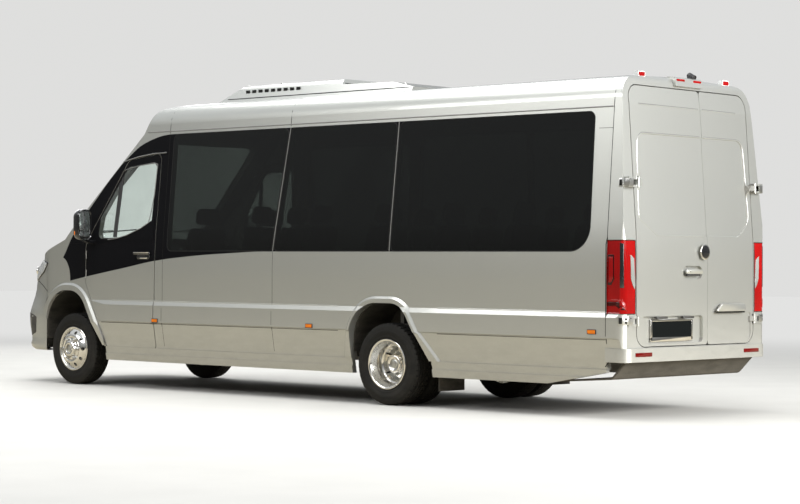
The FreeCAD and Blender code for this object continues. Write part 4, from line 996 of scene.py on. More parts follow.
# Wheel trims: (radius, along from the tyre's middle plane), from the rim's lip inwards
LIP = [(0.2185, 0.0900), (0.2190, 0.0960), (0.2165, 0.0995), (0.2110, 0.1005), (0.2040, 0.0985),
       (0.1990, 0.0945), (0.1965, 0.0905)]
FRONT_TRIM = LIP + [
    (0.1930, 0.0885), (0.1885, 0.0895), (0.1800, 0.0985), (0.1660, 0.1100), (0.1500, 0.1195),
    (0.1360, 0.1255), (0.1290, 0.1265), (0.1250, 0.1235), (0.1190, 0.1215), (0.0880, 0.1225),
    (0.0835, 0.1255), (0.0805, 0.1330), (0.0780, 0.1490), (0.0730, 0.1560), (0.0640, 0.1590),
    (0.0480, 0.1595), (0.0450, 0.1575), (0.0440, 0.1400), (0.0, 0.1380),
]
REAR_TRIM = LIP + [
    (0.1940, 0.0850), (0.1845, 0.0620), (0.1745, 0.0400), (0.1715, 0.0300), (0.1700, 0.0000),
    (0.1690, -0.0200), (0.1650, -0.0240), (0.1600, -0.0255), (0.1560, -0.0300),
    (0.1300, -0.0930), (0.1260, -0.0980), (0.0880, -0.0985), (0.0840, -0.0960),
    (0.0815, -0.0860), (0.0790, -0.0020), (0.0760, 0.0060), (0.0700, 0.0105), (0.0600, 0.0115),
    (0.0560, 0.0095), (0.0540, 0.0080), (0.0470, 0.0080), (0.0440, 0.0065), (0.0430, -0.0060),
    (0.0, -0.0080),
]
TRIM_WALL = 0.0018
# Round holes of the trims: radius of their circle, their own radius, both ends of the cut
TRIM_HOLES = {"front": (0.163, 0.0165, 0.07, 0.16), "rear": (0.144, 0.0150, -0.14, 0.02)}
STUD_CIRCLE = 0.1025
NUT_RADIUS = 0.0145
# Hub cap in the middle of a trim, (radius, along)
HUB = ((0.040, 0.0), (0.040, 0.006), (0.034, 0.010), (0.022, 0.011), (0.020, 0.016), (0.0, 0.017))


def solid_profile(rows, thickness):
    """A thin wall behind a turned profile."""
    back = []
    for i, (r, y) in enumerate(rows):
        r0, y0 = rows[max(i - 1, 0)]
        r1, y1 = rows[min(i + 1, len(rows) - 1)]
        away = Vector((y0 - y1, r1 - r0)).normalized() * thickness
        back.append((r + away.x if r > 0 else 0.0, y + away.y))
    return rows + back[::-1]


def build_wheel_trims(sizes):
    """Polished trims: domed and holed in front, deep behind, with nuts, hubs and valves."""
    for word, side in SIDES:
        # End, body, axle, middle of the tyre, profile, place of the nuts, their height
        rows = (
            ("front", "wheel_front_" + word, FRONT_AXLE, FRONT_WHEEL.y, FRONT_TRIM, 0.1215, 0.030),
            ("rear", "wheels_rear_" + word, REAR_AXLE, TWIN_OUTER, REAR_TRIM, -0.0985, 0.034),
        )
        for end, body, x, y, profile, face, height in rows:
            centre = Vector((x, side * y, AXLE_Z))
            shape = Shape()
            lathe(shape, solid_profile(profile, TRIM_WALL), centre, side, 96, closed=True)
            trim = place_object("wheel_trim_%s_%s" % (end, word), shape.mesh("trim"), body,
                                "chrome", angle=40)
            circle, radius, low, high = TRIM_HOLES[end]
            cut_holes(trim, circle, radius, sizes.trim_holes, centre, side, low, high)
            nuts = Shape()
            for i in range(sizes.nuts):
                angle = 2 * math.pi * i / sizes.nuts
                add_nut(nuts, (x + STUD_CIRCLE * math.cos(angle), centre.y + side * face,
                               AXLE_Z + STUD_CIRCLE * math.sin(angle)), side, NUT_RADIUS,
                        height)
            hub_face = profile[-1][1]
            lathe(nuts, HUB, (x, centre.y + side * hub_face, AXLE_Z), side, 24)
            place_object("wheel_nuts_%s_%s" % (end, word), nuts.mesh("nuts"), body,
                         "bolt_steel", angle=30)
            foot = profile[len(LIP)][1]
            valve = [Vector((x + out, centre.y + side * (foot + along), AXLE_Z))
                     for out, along in ((0.186, 0.002), (0.180, 0.030))]
            tube_curve("valve_%s_%s" % (end, word), valve, 0.0035, body, "seal_rubber")


# Strips, seams and seals


def bead(name, points, radius, body, material, slot=None, sunk=0.0, inward=None, closed=False):
    """A round strip along points, sunk into the surface by a share of its radius."""
    if sunk and inward is not None:
        points = [p + inward * (sunk * radius) for p in points]
    return tube_curve(name, points, radius, body, material, closed)


def joint(name, points, radius, sunk=0.0, inward=None):
    """The dark line of a joint between two panels of the body."""
    return bead(name, points, radius, "body", "joint_shadow", "black_plastic", sunk, inward)


def walk(corners, step):
    """Places about a step apart along a path of (a, b) corners, but for its last corner."""
    places = []
    for (a0, b0), (a1, b1) in zip(corners, corners[1:]):
        count = max(1, int(math.hypot(a1 - a0, b1 - b0) / step))
        places += [(a0 + (a1 - a0) * i / count, b0 + (b1 - b0) * i / count)
                   for i in range(count)]
    return places


def dense_outline(outline, step, gap):
    """A closed outline with points put in between; gap measures how far two are apart."""
    dense = []
    for here, there in zip(outline, outline[1:] + outline[:1]):
        count = max(1, int(gap(there - here) / step))
        dense += [here.lerp(there, i / count) for i in range(count)]
    return dense


def side_run(tree, corners, side, step=0.06, lift=0.0):
    """Points along a side-view path of (x, z), laid on the body's side."""
    return [side_point(tree, x, z, side, lift) for x, z in walk(corners, step) + [corners[-1]]]


def over_run(tree, x, reach=74, step=4, low=2.2):
    """Points of a hoop over the roof at a place along the body."""
    points = []
    for degrees in range(-reach, reach + 1, step):
        angle = math.radians(degrees)
        away = Vector((0, math.sin(angle), math.cos(angle)))
        place = hit(tree, Vector((x, 0, low)) + away * 2.0, -away)
        if place is not None:
            points.append(place)
    return points


def rim_loops(node, outward, limit=0.5):
    """Closed loops of points round the faces of a node that look outwards."""
    bm = bmesh.new()
    bm.from_mesh(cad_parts[node].data)
    bmesh.ops.remove_doubles(bm, verts=bm.verts, dist=1e-5)
    outward = Vector(outward).normalized()
    facing = {f for f in bm.faces if f.normal.dot(outward) > limit}
    links = {}
    for edge in bm.edges:
        if sum(f in facing for f in edge.link_faces) == 1:
            for here, there in (tuple(edge.verts), tuple(edge.verts)[::-1]):
                links.setdefault(here, []).append(there)
    loops, used = [], set()
    for start in links:
        if start in used or len(links[start]) != 2:
            continue
        loop, here, back = [], start, None
        while here not in used:
            used.add(here)
            loop.append(here.co.copy())
            ahead = [v for v in links[here] if v is not back]
            back, here = here, ahead[0]
        if len(loop) > 3:
            loops.append(loop)
    bm.free()
    return loops


def loop_length(loop):
    """Length of a closed loop of points."""
    return sum((a - b).length for a, b in zip(loop, loop[1:] + loop[:1]))


# Heights of the two lines along the sides, and where they run before and behind the arch
JOINT_HEIGHT = 0.630
CREASE_HEIGHT = 0.846
SIDE_LINES = ((2.46, -0.80), (-1.97, D_SEAM + 0.012))
SILL_HEIGHT = 0.42
JOINT_SHARE = 0.62
# Radii of the strips along the body
SIDE_JOINT = 0.0030
SIDE_CREASE = 0.0060
GUTTER = 0.007
DIVIDER = 0.0055
# Rain rail over a cab door, (along, height)
DRIP_RAIL = ((2.230, 2.196), (2.007, 2.238), (1.793, 2.262), (1.590, 2.268))


def build_seams(sizes):
    """Panel joints, roof gutters, window seals and dividers."""
    radius = sizes.seal * JOINT_SHARE
    roof = skin("roof_panel", "rear_frame", "cab_frame", "side_wall_left", "side_wall_right",
                "sliding_door", "side_glass_left", "side_glass_right")
    for word, side in SIDES:
        body = side_body()
        inward = Vector((0, -side, 0))
        seams = {
            "cab_joint": [(B_SEAM, SILL_HEIGHT), (B_SEAM, SEAM)],
            "rear_joint": [(D_SEAM, SILL_HEIGHT), (D_SEAM, SEAM - 0.01)],
            "rear_crease_joint": [(D_SEAM, 2.30), (D_SEAM + 0.14, 2.302)],
        }
        if side > 0:
            seams["middle_joint"] = [(MIDDLE_DIVIDER[0][0], SILL_HEIGHT), MIDDLE_DIVIDER[0]]
        for name, corners in seams.items():
            wide = 1.5 if name == "rear_joint" else 1.0
            joint("%s_%s" % (name, word), side_run(body, corners, side), radius * wide, 0.7,
                  inward)
        for number, (x0, x1) in enumerate(SIDE_LINES):
            joint("side_joint_%s_%d" % (word, number),
                  side_run(body, [(x0, JOINT_HEIGHT), (x1, JOINT_HEIGHT)], side), SIDE_JOINT,
                  0.55, inward)
            bead("side_crease_%s_%d" % (word, number),
                 side_run(body, [(x0 - (0.16 if number == 0 else 0), CREASE_HEIGHT),
                                 (x1, CREASE_HEIGHT)], side), SIDE_CREASE, "body",
                 "silver_paint", "silver_paint", 0.55, inward)
        gutter = [(D_SEAM + 0.01, SEAM + 0.001), (2.0, SEAM + 0.001)]
        bead("gutter_" + word, side_run(body, gutter, side), GUTTER, "body", "gutter_grey",
             "grey_paint", 0.35, inward)
        dividers = (REAR_DIVIDER, MIDDLE_DIVIDER) if side > 0 else (REAR_DIVIDER,)
        for number, corners in enumerate(dividers):
            bead("window_divider_%s_%d" % (word, number), side_run(body, corners, side),
                 DIVIDER, "body", "gutter_grey", "black_plastic", 0.3, inward)
        cab = "cab_door_" + word
        above = skin("cab_frame", "side_wall_left", "side_wall_right", "roof_panel")
        bead("drip_rail_" + word, side_run(above, DRIP_RAIL, side, lift=0.002), DIVIDER, "body",
             "gutter_grey", "grey_paint", 0.2, inward)
        for node, rides in (("side_glass_" + word, "body"),
                            (DOORS[word] + "_glass", cab)):
            for number, loop in enumerate(rim_loops(node, (0, side, 0))):
                if loop_length(loop) > 1.0:
                    bead("seal_%s_%d" % (node, number), loop, sizes.seal, rides, "seal_rubber",
                         "black_plastic", 0.5, inward, closed=True)
        build_belt_cover(word, side, cab)
        build_quarter_bar(word, side, cab)
    for name, x in (("cab", B_SEAM), ("middle", MIDDLE_DIVIDER[1][0]), ("rear", D_SEAM)):
        joint("roof_joint_" + name, over_run(roof, x), radius, 0.7, DOWN)
    for loop in rim_loops("windscreen", (1, 0, 0.6)):
        bead("seal_windscreen", loop, sizes.seal * 1.5, "body", "seal_rubber", "black_plastic",
             closed=True)


# Line round the cab door's window, (along, height), from its top front corner backwards
WINDOW_LINE = ((2.252, 2.075), (2.178, 2.118), (1.982, 2.150), (1.760, 2.174), (1.706, 2.160),
               (1.721, 1.880), (1.753, 1.705), (1.781, 1.598), (1.895, 1.545), (2.104, 1.478),
               (2.252, 1.449), (2.440, 1.432))
# Sill of that window, and the height at which the skin below it starts
SLOPING_SILL = ((1.700, 1.640), (1.781, 1.598), (1.838, 1.572), (1.895, 1.545), (2.000, 1.511),
                (2.104, 1.478), (2.178, 1.463), (2.252, 1.449), (2.440, 1.432))
COVER_FOOT = 1.425
LEAST_REACH = 0.90


def build_belt_cover(word, side, body):
    """The door's skin below the window's sloping sill, and the bright line round the window."""
    trees = skin(DOORS[word] + "_glass"), skin(DOORS[word])

    def outer(x, z, lift):
        """Point lifted off the door or its glass, whichever is further out."""
        found = [hit(tree, (x, side * CLEAR_ASIDE, z), (0, -side, 0)) for tree in trees]
        reach = max([abs(p.y) for p in found if p is not None] + [LEAST_REACH])
        return Vector((x, side * (reach + lift), z))

    shape = Shape()
    rows = []
    for share, lift in ((0.0, 0.0), (0.0, 0.0035), (0.5, 0.0035), (1.0, 0.0035), (1.0, -0.003)):
        rows.append([outer(x, COVER_FOOT + (z - COVER_FOOT) * share, lift)
                     for x, z in SLOPING_SILL])
    shape.strip(rows)
    place_object("belt_cover_" + word, shape.mesh("belt_cover"), body, "silver_paint",
                 angle=50)
    line = [outer(x, z, 0.004) for x, z in walk(WINDOW_LINE, 0.05)]
    bead("window_line_" + word, line, 0.0038, body, "gutter_grey", "grey_paint")


def build_quarter_bar(word, side, body):
    """The upright bar between the quarter light and the door glass."""
    glass = skin(DOORS[word] + "_glass")
    shape = Shape()
    rows = []
    steps = 12
    for i in range(steps + 1):
        t = i / steps
        x, z = 2.276 - 0.052 * t, 1.462 + 0.624 * t
        row = []
        for along, lift in ((-0.028, -0.004), (-0.028, 0.002), (-0.020, 0.005), (0.020, 0.005),
                            (0.028, 0.002), (0.028, -0.004)):
            place = side_point(glass, x + along, z, side, lift)
            # Where the ray missed the glass, its lean gives the place
            if abs(place.y) >= HALF - 0.001:
                place.y = side * (0.978 - 0.0625 * t)
            row.append(place)
        rows.append(row)
    shape.strip(rows, closed=True)
    shape.cap(rows[0])
    shape.cap(rows[-1])
    place_object("quarter_bar_" + word, shape.mesh("quarter_bar"), body, "black_plastic")


# Rear end


def rear_point(tree, y, z, lift=0.0):
    """Point of the rear face at a place across and up, lifted off its surface."""
    place = hit(tree, (REAR_PLANE - 1.0, y, z), (1, 0, 0), Vector((REAR_PLANE, y, z)))
    return place + Vector((-lift, 0, 0))


def rear_slab(name, outline, low, high, body, material, round_edge=0.0, base=None):
    """A plate on the rear face; its outline is (y, z)."""
    x = REAR_PLANE if base is None else base
    shape = Shape()
    slab(shape, outline, lambda a, b, depth: Vector((x - depth, a, b)), low, high, round_edge)
    return place_object(name, shape.mesh(name), body, material)


def capsule(a0, a1, b0, b1, radius, steps=6):
    """Outline of a rectangle with round corners."""
    return rounded_path([(a0, b0, radius), (a1, b0, radius), (a1, b1, radius), (a0, b1, radius)],
                        steps)


def round_row(place, turn, radius, height, steps):
    """Points of a circle about a turned axis, at a height along it."""
    return [place + turn @ Vector((radius * math.cos(2 * math.pi * i / steps),
                                   radius * math.sin(2 * math.pi * i / steps), height))
            for i in range(steps)]


def hex_bolt(shape, place, axis, radius, height):
    """A hexagon head on a washer, along an axis."""
    turn = Vector(axis).to_track_quat("Z", "Y")
    washer = ((1.5, 0, 18), (1.5, 0.25, 18), (1.35, 0.32, 18))
    head = ((1.0, 0.3, 6), (1.0, 0.85, 6), (0.82, 1.0, 6))
    for part in (washer, head):
        rows = [round_row(place, turn, radius * wide, height * up, steps)
                for wide, up, steps in part]
        shape.strip(rows, closed=True)
        shape.cap(rows[-1])


# Middle of the bare badge on the left rear door, (across, height)
BADGE = (-0.080, 1.328)
HINGE_HEIGHTS = (0.782, 1.866)
LEAF_LIFT = 0.0045
# Slots of a hinge leaf: first and last turn about the lamp's corner, bottom and top
LEAF_SLOTS = ((127, 134, -0.024, 0.024), (140, 146, 0.004, 0.024), (140, 146, -0.024, -0.004),
              (152, 158, -0.022, 0.022))


def build_rear_doors():
    """Handle, lock, step grip, plate frame and lamps, badge, hinge leaves and edge strips."""
    doors = skin("rear_door_left", "rear_door_right", "rear_frame")
    left, right = "rear_left_door", "rear_right_door"
    rear_slab("handle_bar", capsule(-0.060, 0.176, 1.150, 1.186, 0.0178), -0.012, 0.004, left,
              "silver_paint", 0.006)
    # Painted shade: a black plate in the gap under the handle bar stands for the shade that falls
    # there
    rear_slab("handle_painted_shade", capsule(-0.030, 0.150, 1.134, 1.148, 0.006), -0.029, -0.010, left,
              "black_plastic", 0.003)
    shape = Shape()
    slab(shape, disc(0.135, 1.168, 0.0085), rear_place, 0.003, 0.0055, 0.001)
    place_object("door_lock", shape.mesh("door_lock"), left, "chrome")

    grip = rounded_path([(-0.232, 0.842, 0.008), (-0.664, 0.842, 0.012), (-0.654, 0.892, 0.022),
                         (-0.640, 0.904, 0.02), (-0.312, 0.904, 0.035)])
    rear_slab("step_grip", grip, -0.002, 0.012, right, "silver_paint", 0.010)
    # Painted shadow: a dark strip just proud of the door, below the raised grip, stands for the
    # shade the grip casts
    rear_slab("step_grip_painted_shadow", capsule(-0.656, -0.250, 0.829, 0.843, 0.005), -0.004, 0.0012,
              right, "joint_shadow")

    (face, y0, z0), (_, y1, z1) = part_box("number_plate")
    shape = Shape()

    def on_plate(a, b, depth):
        """Place on the number plate, a depth behind it."""
        return Vector((face - depth, a, b))

    for outline in (capsule(y0 - 0.014, y1 + 0.014, z0 - 0.030, z0 + 0.004, 0.004),
                    capsule(y0 - 0.014, y1 + 0.014, z1 - 0.004, z1 + 0.010, 0.004),
                    capsule(y0 - 0.014, y0 + 0.004, z0 - 0.020, z1 + 0.008, 0.004),
                    capsule(y1 - 0.004, y1 + 0.014, z0 - 0.020, z1 + 0.008, 0.004)):
        slab(shape, outline, on_plate, -0.008, 0.005, 0.003)
    place_object("plate_frame", shape.mesh("plate_frame"), left, "chrome")
    for number, y in enumerate((y0 + 0.09, y1 - 0.09)):
        rear_slab("plate_lamp_%d" % number, capsule(y - 0.075, y + 0.075, 0.792, 0.810, 0.006),
                  -0.020, 0.003, left, "black_plastic", 0.004)
        rear_slab("plate_lens_%d" % number, capsule(y - 0.045, y + 0.045, 0.7885, 0.793, 0.002),
                  -0.016, -0.002, left, "clear_lens")

    rear_slab("bare_badge", disc(*BADGE, 0.064), -0.001, 0.005, left, "chrome",
              0.003)
    rear_slab("bare_badge_face", disc(*BADGE, 0.053), 0.004, 0.0058, left, "black_gloss",
              0.001)
    build_pressed_lines(doors)

    for word, side in SIDES:
        build_hinge_leaves(word, side)
        edge = LEFT_EDGE if side > 0 else RIGHT_EDGE
        strip = Shape()
        rows = []
        for z in [0.60 + 0.05 * i for i in range(41)]:
            x = rear_point(doors, edge + side * 0.010, z).x
            rows.append([Vector((x + depth, edge - side * out, z)) for depth, out in
                         ((0.0012, -0.001), (0.0012, 0.0032), (0.0048, 0.0032), (0.0048, -0.001))])
        strip.strip(rows, closed=True)
        strip.cap(rows[0])
        strip.cap(rows[-1])
        place_object("door_edge_strip_" + word, strip.mesh("door_edge_strip"),
                     "rear_%s_door" % word, "silver_paint")


# Pressed lines of the rear doors: corners (across, height, radius), and plain (across, height)
BLANK_LINE = ((-0.178, 2.267, 0.001), (-0.735, 2.267, 0.090), (-0.768, 1.590, 0.130),
              (-0.612, 1.457, 0.120), (-0.178, 1.457, 0.001))
BLANK_LINE_LEFT = ((-0.122, 2.267, 0.001), (0.735, 2.267, 0.090), (0.768, 1.590, 0.060),
                   (0.540, 1.455, 0.120), (-0.122, 1.455, 0.001))
UPPER_CREASE = ((-0.178, 2.494), (-0.700, 2.490))


def build_pressed_lines(doors):
    """Soft ridges along the blanked window and the crease above it, a half on each door."""
    rows = (
        ("blank_line_right", "rear_right_door", rounded_path(BLANK_LINE, 6)),
        ("blank_line_left", "rear_left_door", rounded_path(BLANK_LINE_LEFT, 6)),
        ("crease_line_right", "rear_right_door", UPPER_CREASE),
        ("crease_line_left", "rear_left_door", ((-0.122, 2.494), (0.730, 2.496))),
    )
    for name, body, corners in rows:
        points = [rear_point(doors, y, z) for y, z in walk(corners, 0.04)]
        bead(name, points, 0.0055, body, "silver_paint", "silver_paint", 0.6, FORWARD)
        shadow = [p + Vector((0, 0, 0.0075)) for p in points if p.z > 2.2]
        if len(shadow) > 2:
            bead(name + "_shade", shadow, 0.0032, body, "gutter_grey", "grey_paint", 0.55,
                 FORWARD)


def build_hinge_leaves(word, side):
    """Bright hinge leaves bent round the rear corner, with their slots."""
    tree = skin("rear_frame", "rear_door_left", "rear_door_right", "tail_lamps")
    lift = LEAF_LIFT
    for number, z in enumerate(HINGE_HEIGHTS):
        leaf = Shape()
        rows = []
        for degrees in range(126, 163, 4):
            rows.append([lamp_place(tree, side, degrees, z + up, out) for up, out in
                         ((-0.033, -0.002), (-0.033, lift - 0.001), (-0.030, lift),
                          (0.030, lift), (0.033, lift - 0.001), (0.033, -0.002))])
        leaf.strip(rows)
        leaf.cap(rows[0])
        leaf.cap(rows[-1])
        place_object("hinge_leaf_%s_%d" % (word, number), leaf.mesh("hinge_leaf"), "body",
                     "bolt_steel")
        slots = Shape()
        for start, stop, low, high in LEAF_SLOTS:
            rows = [[lamp_place(tree, side, degrees, z + up, LEAF_LIFT + 0.0011)
                     for up in (low, high)]
                    for degrees in (start, (start + stop) / 2, stop)]
            slots.strip(rows)
        place_object("hinge_slots_%s_%d" % (word, number), slots.mesh("hinge_slots"), "body",
                     "joint_shadow")


def disc(y, z, radius, step=9):
    """Outline of a round plate."""
    return [(y + radius * math.cos(math.radians(a)), z + radius * math.sin(math.radians(a)))
            for a in range(0, 360, step)]


def rear_place(a, b, depth):
    """Place on the rear plane, a depth behind it."""
    return Vector((REAR_PLANE - depth, a, b))


def lamp_place(tree, side, degrees, z, lift):
    """Point of a tail lamp's skin at a turn about its corner, lifted outwards."""
    angle = math.radians(degrees)
    away = Vector((math.cos(angle), side * math.sin(angle), 0))
    centre = Vector((LAMP_CORNER[0], side * LAMP_CORNER[1], z))
    place = hit(tree, centre + away * 0.5, -away)
    return (place if place is not None else centre + away * 0.15) + away * lift


# Zones of a tail lamp: name, corners as (turn, height), lift, material
LAMP_ZONES = (
    ("side_chamber", ((96, 1.300), (115, 1.300), (116, 1.110), (108, 1.062), (96, 1.062)),
     0.0022, "dark_lens"),
    ("side_lens", ((99, 1.282), (112, 1.282), (113, 1.118), (107, 1.082), (99, 1.082)),
     0.0034, "red_lens"),
    ("blade", ((129, 1.392), (137, 1.386), (138, 1.040), (129, 1.040)), 0.0026, "black_gloss"),
    ("reverse_lens", ((156, 1.300), (170, 1.270), (175, 1.060), (172, 1.030), (165, 1.060),
                      (158, 1.110)), 0.0026, "reverse_lens"),
    ("turn_lens", ((95, 0.928), (132, 0.928), (141, 0.866), (133, 0.866), (120, 0.900),
                   (95, 0.896)), 0.0020, "dark_lens"),
    ("lower_rib", ((95, 0.946), (134, 0.946), (150, 0.854), (146, 0.852), (132, 0.938),
                   (95, 0.938)), 0.0030, "red_lens"),
)


def build_tail_lamps():
    """Chambers, blade, lenses and seals on the tail lamps, and the bumper reflectors."""
    tree = skin("tail_lamps")
    for word, side in SIDES:
        for name, corners, lift, material in LAMP_ZONES:
            outline = rounded_path([(a * 0.01, z, 0.005) for a, z in corners], 3)
            dense = dense_outline(outline, 0.03, lambda move: abs(move.x))
            centre = sum(dense, Vector((0, 0))) / len(dense)
            shape = Shape()
            rows = []
            for share, height in ((1.0, -0.001), (1.0, lift), (0.94, lift + 0.0012),
                                  (0.5, lift + 0.0012)):
                inner = [centre + (p - centre) * share for p in dense] if share < 1 else dense
                rows.append([lamp_place(tree, side, p.x * 100, p.y, height) for p in inner])
            shape.strip(rows, closed=True)
            shape.cap(rows[-1])
            place_object("lamp_%s_%s" % (name, word), shape.mesh(name), "body", material)
        loop = [lamp_place(tree, side, a, z, 0.0) for a, z in
                [(92, 0.834)] + [(a, 0.834) for a in range(96, 176, 5)] + [(177, 0.834)]
                + [(177, z / 100) for z in range(88, 141, 6)] + [(177, 1.413)]
                + [(a, 1.413) for a in range(172, 95, -5)] + [(92, 1.413)]]
        bead("lamp_seal_" + word, loop, 0.0035, "body", "seal_rubber", "black_plastic",
             closed=True)
        y0, y1 = sorted((side * 0.640, side * 0.860))
        rear_slab("bumper_reflector_" + word, capsule(y0, y1, 0.497, 0.529, 0.006), -0.001, 0.003,
                  "body", "reflector_red", 0.002, base=REAR_END)


# Sides


def side_slab(name, tree, side, outline, low, high, body, material, round_edge=0.0):
    """A plate on the body's side; its outline is (x, z)."""
    shape = Shape()

    def place(a, b, depth):
        """Place on the body's side, a depth off it."""
        return side_point(tree, a, b, side, depth)

    slab(shape, outline, place, low, high, round_edge)
    return place_object(name, shape.mesh(name), body, material)


# Pieces of a side handle: name's ending; how far its outline lies from the handle's ends and
# height (back, ahead, bottom, top, corner); depths and rounding; material
HANDLE_PIECES = (
    # The cup's flat black gloss plate is partly painted shade, standing for the shaded recess
    # behind the handle, and partly the black of the paint round it
    ("_cup", (0.010, -0.020, -0.026, 0.030, 0.026), (-0.002, 0.0016, 0.0012), "black_gloss"),
    ("_cup_rim", (0.045, -0.065, -0.020, -0.008, 0.0055), (-0.001, 0.0028, 0.001), "chrome"),
    ("", (-0.010, 0.008, 0.016, 0.044, 0.012), (0.010, 0.028, 0.009), "black_gloss"),
    ("_strip", (-0.004, 0.002, 0.034, 0.043, 0.004), (0.024, 0.030, 0.002), "chrome"),
)
BEZEL_REACH = 0.042


def build_side_details():
    """Door handles and bezels of the side marker lamps."""
    for word, side in SIDES:
        tree = side_body()
        handles = [("cab_handle_" + word, "cab_door_" + word, 1.735, 1.955, 1.272)]
        if side < 0:
            handles.append(("sliding_handle", "body", 1.270, 1.490, 1.245))
        for name, body, x0, x1, z in handles:
            for ending, (back, ahead, bottom, top, corner), depths, finish in HANDLE_PIECES:
                outline = capsule(x0 + back, x1 + ahead, z + bottom, z + top, corner)
                deep, proud, edge = depths
                side_slab(name + ending, tree, side, outline, deep, proud, body, finish,
                          edge)
            for number, x in enumerate((x0 + 0.012, x1 - 0.012)):
                side_slab("%s_post_%d" % (name, number), tree, side,
                          capsule(x - 0.011, x + 0.011, z + 0.018, z + 0.038, 0.006), -0.002,
                          0.014, body, "black_gloss")
        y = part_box("side_marker_lamps")[1].y - 0.0065

        def on_marker(a, b, depth):
            """Place on a marker lamp's face, a depth off it."""
            return Vector((a, side * (y + depth), b))

        for number, (x, z) in enumerate(MARKERS):
            shape = Shape()
            back, ahead = x - BEZEL_REACH, x + BEZEL_REACH
            for a0, a1, b0, b1 in ((back, ahead, 0.013, 0.019), (back, ahead, -0.019, -0.013),
                                   (back - 0.002, back + 0.005, -0.019, 0.019),
                                   (ahead - 0.005, ahead + 0.002, -0.019, 0.019)):
                slab(shape, capsule(a0, a1, z + b0, z + b1, 0.002), on_marker, -0.004, 0.0045,
                     0.0015)
            place_object("marker_bezel_%s_%d" % (word, number), shape.mesh("bezel"), "body",
                         "black_plastic")


def ring_of(outline, centre, scale, x):
    """An outline in (y, z) scaled about its centre and set at a place along."""
    return [Vector((x, centre[0] + (p[0] - centre[0]) * scale,
                    centre[1] + (p[1] - centre[1]) * scale)) for p in outline]


def build_mirrors():
    """Rounded mirror heads with two glasses, an indicator and an arm."""
    for word, side in SIDES:
        node = "mirror_" + word
        low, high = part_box(node)
        body = "cab_door_" + word
        inner, outer = sorted((abs(low.y), abs(high.y)))
        y0, y1 = inner + 0.068, outer
        z0, z1 = low.z + 0.042, high.z
        outline = rounded_path([(side * y0, z0, 0.050), (side * y1, z0, 0.062),
                                (side * y1, z1, 0.066), (side * y0, z1, 0.052)], 8)
        centre = (side * (y0 + y1) / 2, (z0 + z1) / 2)
        shape = Shape()
        depth = high.x - low.x
        rows = []
        for share, scale in ((0.10, 0.86), (0.02, 0.90), (0.0, 0.95), (0.06, 0.99), (0.25, 1.0),
                             (0.45, 0.985), (0.62, 0.94), (0.77, 0.85), (0.90, 0.68),
                             (0.97, 0.45), (1.0, 0.18)):
            rows.append(ring_of(outline, centre, scale, low.x + depth * share))
        shape.strip(rows, closed=True)
        shape.cap(rows[-1])
        shape.cap(rows[0])
        foot = []
        for y, z, x, reach, rise in ((inner, 1.412, 2.606, 0.042, 0.024),
                                     (inner + 0.04, 1.412, 2.606, 0.040, 0.022),
                                     (inner + 0.09, 1.420, 2.608, 0.034, 0.020),
                                     (inner + 0.13, 1.436, 2.610, 0.030, 0.020)):
            section = capsule(x - reach, x + reach * 0.6, z - rise, z + rise, 0.012, 4)
            foot.append([Vector((p[0], side * y, p[1])) for p in section])
        shape.strip(foot, closed=True)
        shape.cap(foot[0])
        shape.cap(foot[-1])
        head = place_object("mirror_head_" + word, shape.mesh("mirror_head"), body,
                            "black_gloss", angle=40)
        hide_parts(node)
        split = z0 + (z1 - z0) * 0.30
        for name, bottom, top in (("wide", z0 + 0.022, split - 0.004),
                                  ("main", split + 0.004, z1 - 0.020)):
            glass = Shape()
            a, b = sorted((side * (y0 + 0.018), side * (y1 - 0.018)))
            slab(glass, capsule(a, b, bottom, top, 0.022),
                 lambda p, q, d: Vector((low.x + 0.010 - d, p, q)), 0.0, 0.006, 0.001)
            place_object("mirror_%s_glass_%s" % (name, word), glass.mesh("mirror_glass"), body,
                         "mirror_silver")
        lens = Shape()
        rows = []
        for i in range(9):
            angle = math.radians(-28 + 7 * i)
            x = low.x + depth * (0.50 + 0.32 * math.sin(angle * 1.2))
            y = y1 - 0.004 - 0.055 * (1 - math.cos(angle * 1.4)) - 0.010 * (i > 6)
            rows.append([Vector((x, side * (y + lift), z)) for z, lift in
                         ((z0 + 0.052, 0.0), (z0 + 0.058, 0.004), (z0 + 0.088, 0.004),
                          (z0 + 0.094, 0.0))])
        lens.strip(rows)
        place_object("mirror_indicator_" + word, lens.mesh("mirror_indicator"), body,
                     "amber_lens")


# Front

# Where a point of the nose is taken to be along the body if its ray misses
NOSE_FALLBACK = 3.9


def front_point(tree, y, z, lift=0.0):
    """Point of the nose at a place across and up."""
    place = hit(tree, (CLEAR_AHEAD, y, z), BACKWARD, Vector((NOSE_FALLBACK, y, z)))
    return place + Vector((lift, 0, 0))


# How far along the nose's upright axis stands
NOSE_AXIS = 3.1
# How far the nose's corners stand out from the built ones: (height, reach)
NOSE_SWELL = (
    (0.335, 0.100), (0.352, 0.122), (0.385, 0.133), (0.420, 0.122), (0.470, 0.124),
    (0.520, 0.130), (0.570, 0.138), (0.630, 0.143), (0.690, 0.145), (0.735, 0.136),
    (0.780, 0.122), (0.805, 0.115), (0.860, 0.097), (0.930, 0.082), (0.980, 0.078),
    (1.030, 0.073), (1.080, 0.070), (1.135, 0.062), (1.190, 0.034), (1.250, 0.0),
)
# Turns about the nose's axis, in degrees: ends of the grille and of the bumper's skin
GRILLE_TURN = 39.6
NOSE_TURN = 73.0
# Turns at which the corner's swell is full and starts to fade
SWELL_FULL = 53.0
SWELL_FADES = 56.0
# Outlines on the nose are made in (turn / TURN_SCALE, height), so that corners come out round
TURN_SCALE = 100.0


def smooth_step(value):
    """Eases from 0 to 1."""
    value = min(1.0, max(0.0, value))
    return value * value * (3 - 2 * value)


def swell_at(z):
    """Swell of the nose's corner at a height."""
    for (z0, a), (z1, b) in zip(NOSE_SWELL, NOSE_SWELL[1:]):
        if z <= z1:
            return a + (b - a) * max(0.0, (z - z0) / (z1 - z0))
    return 0.0


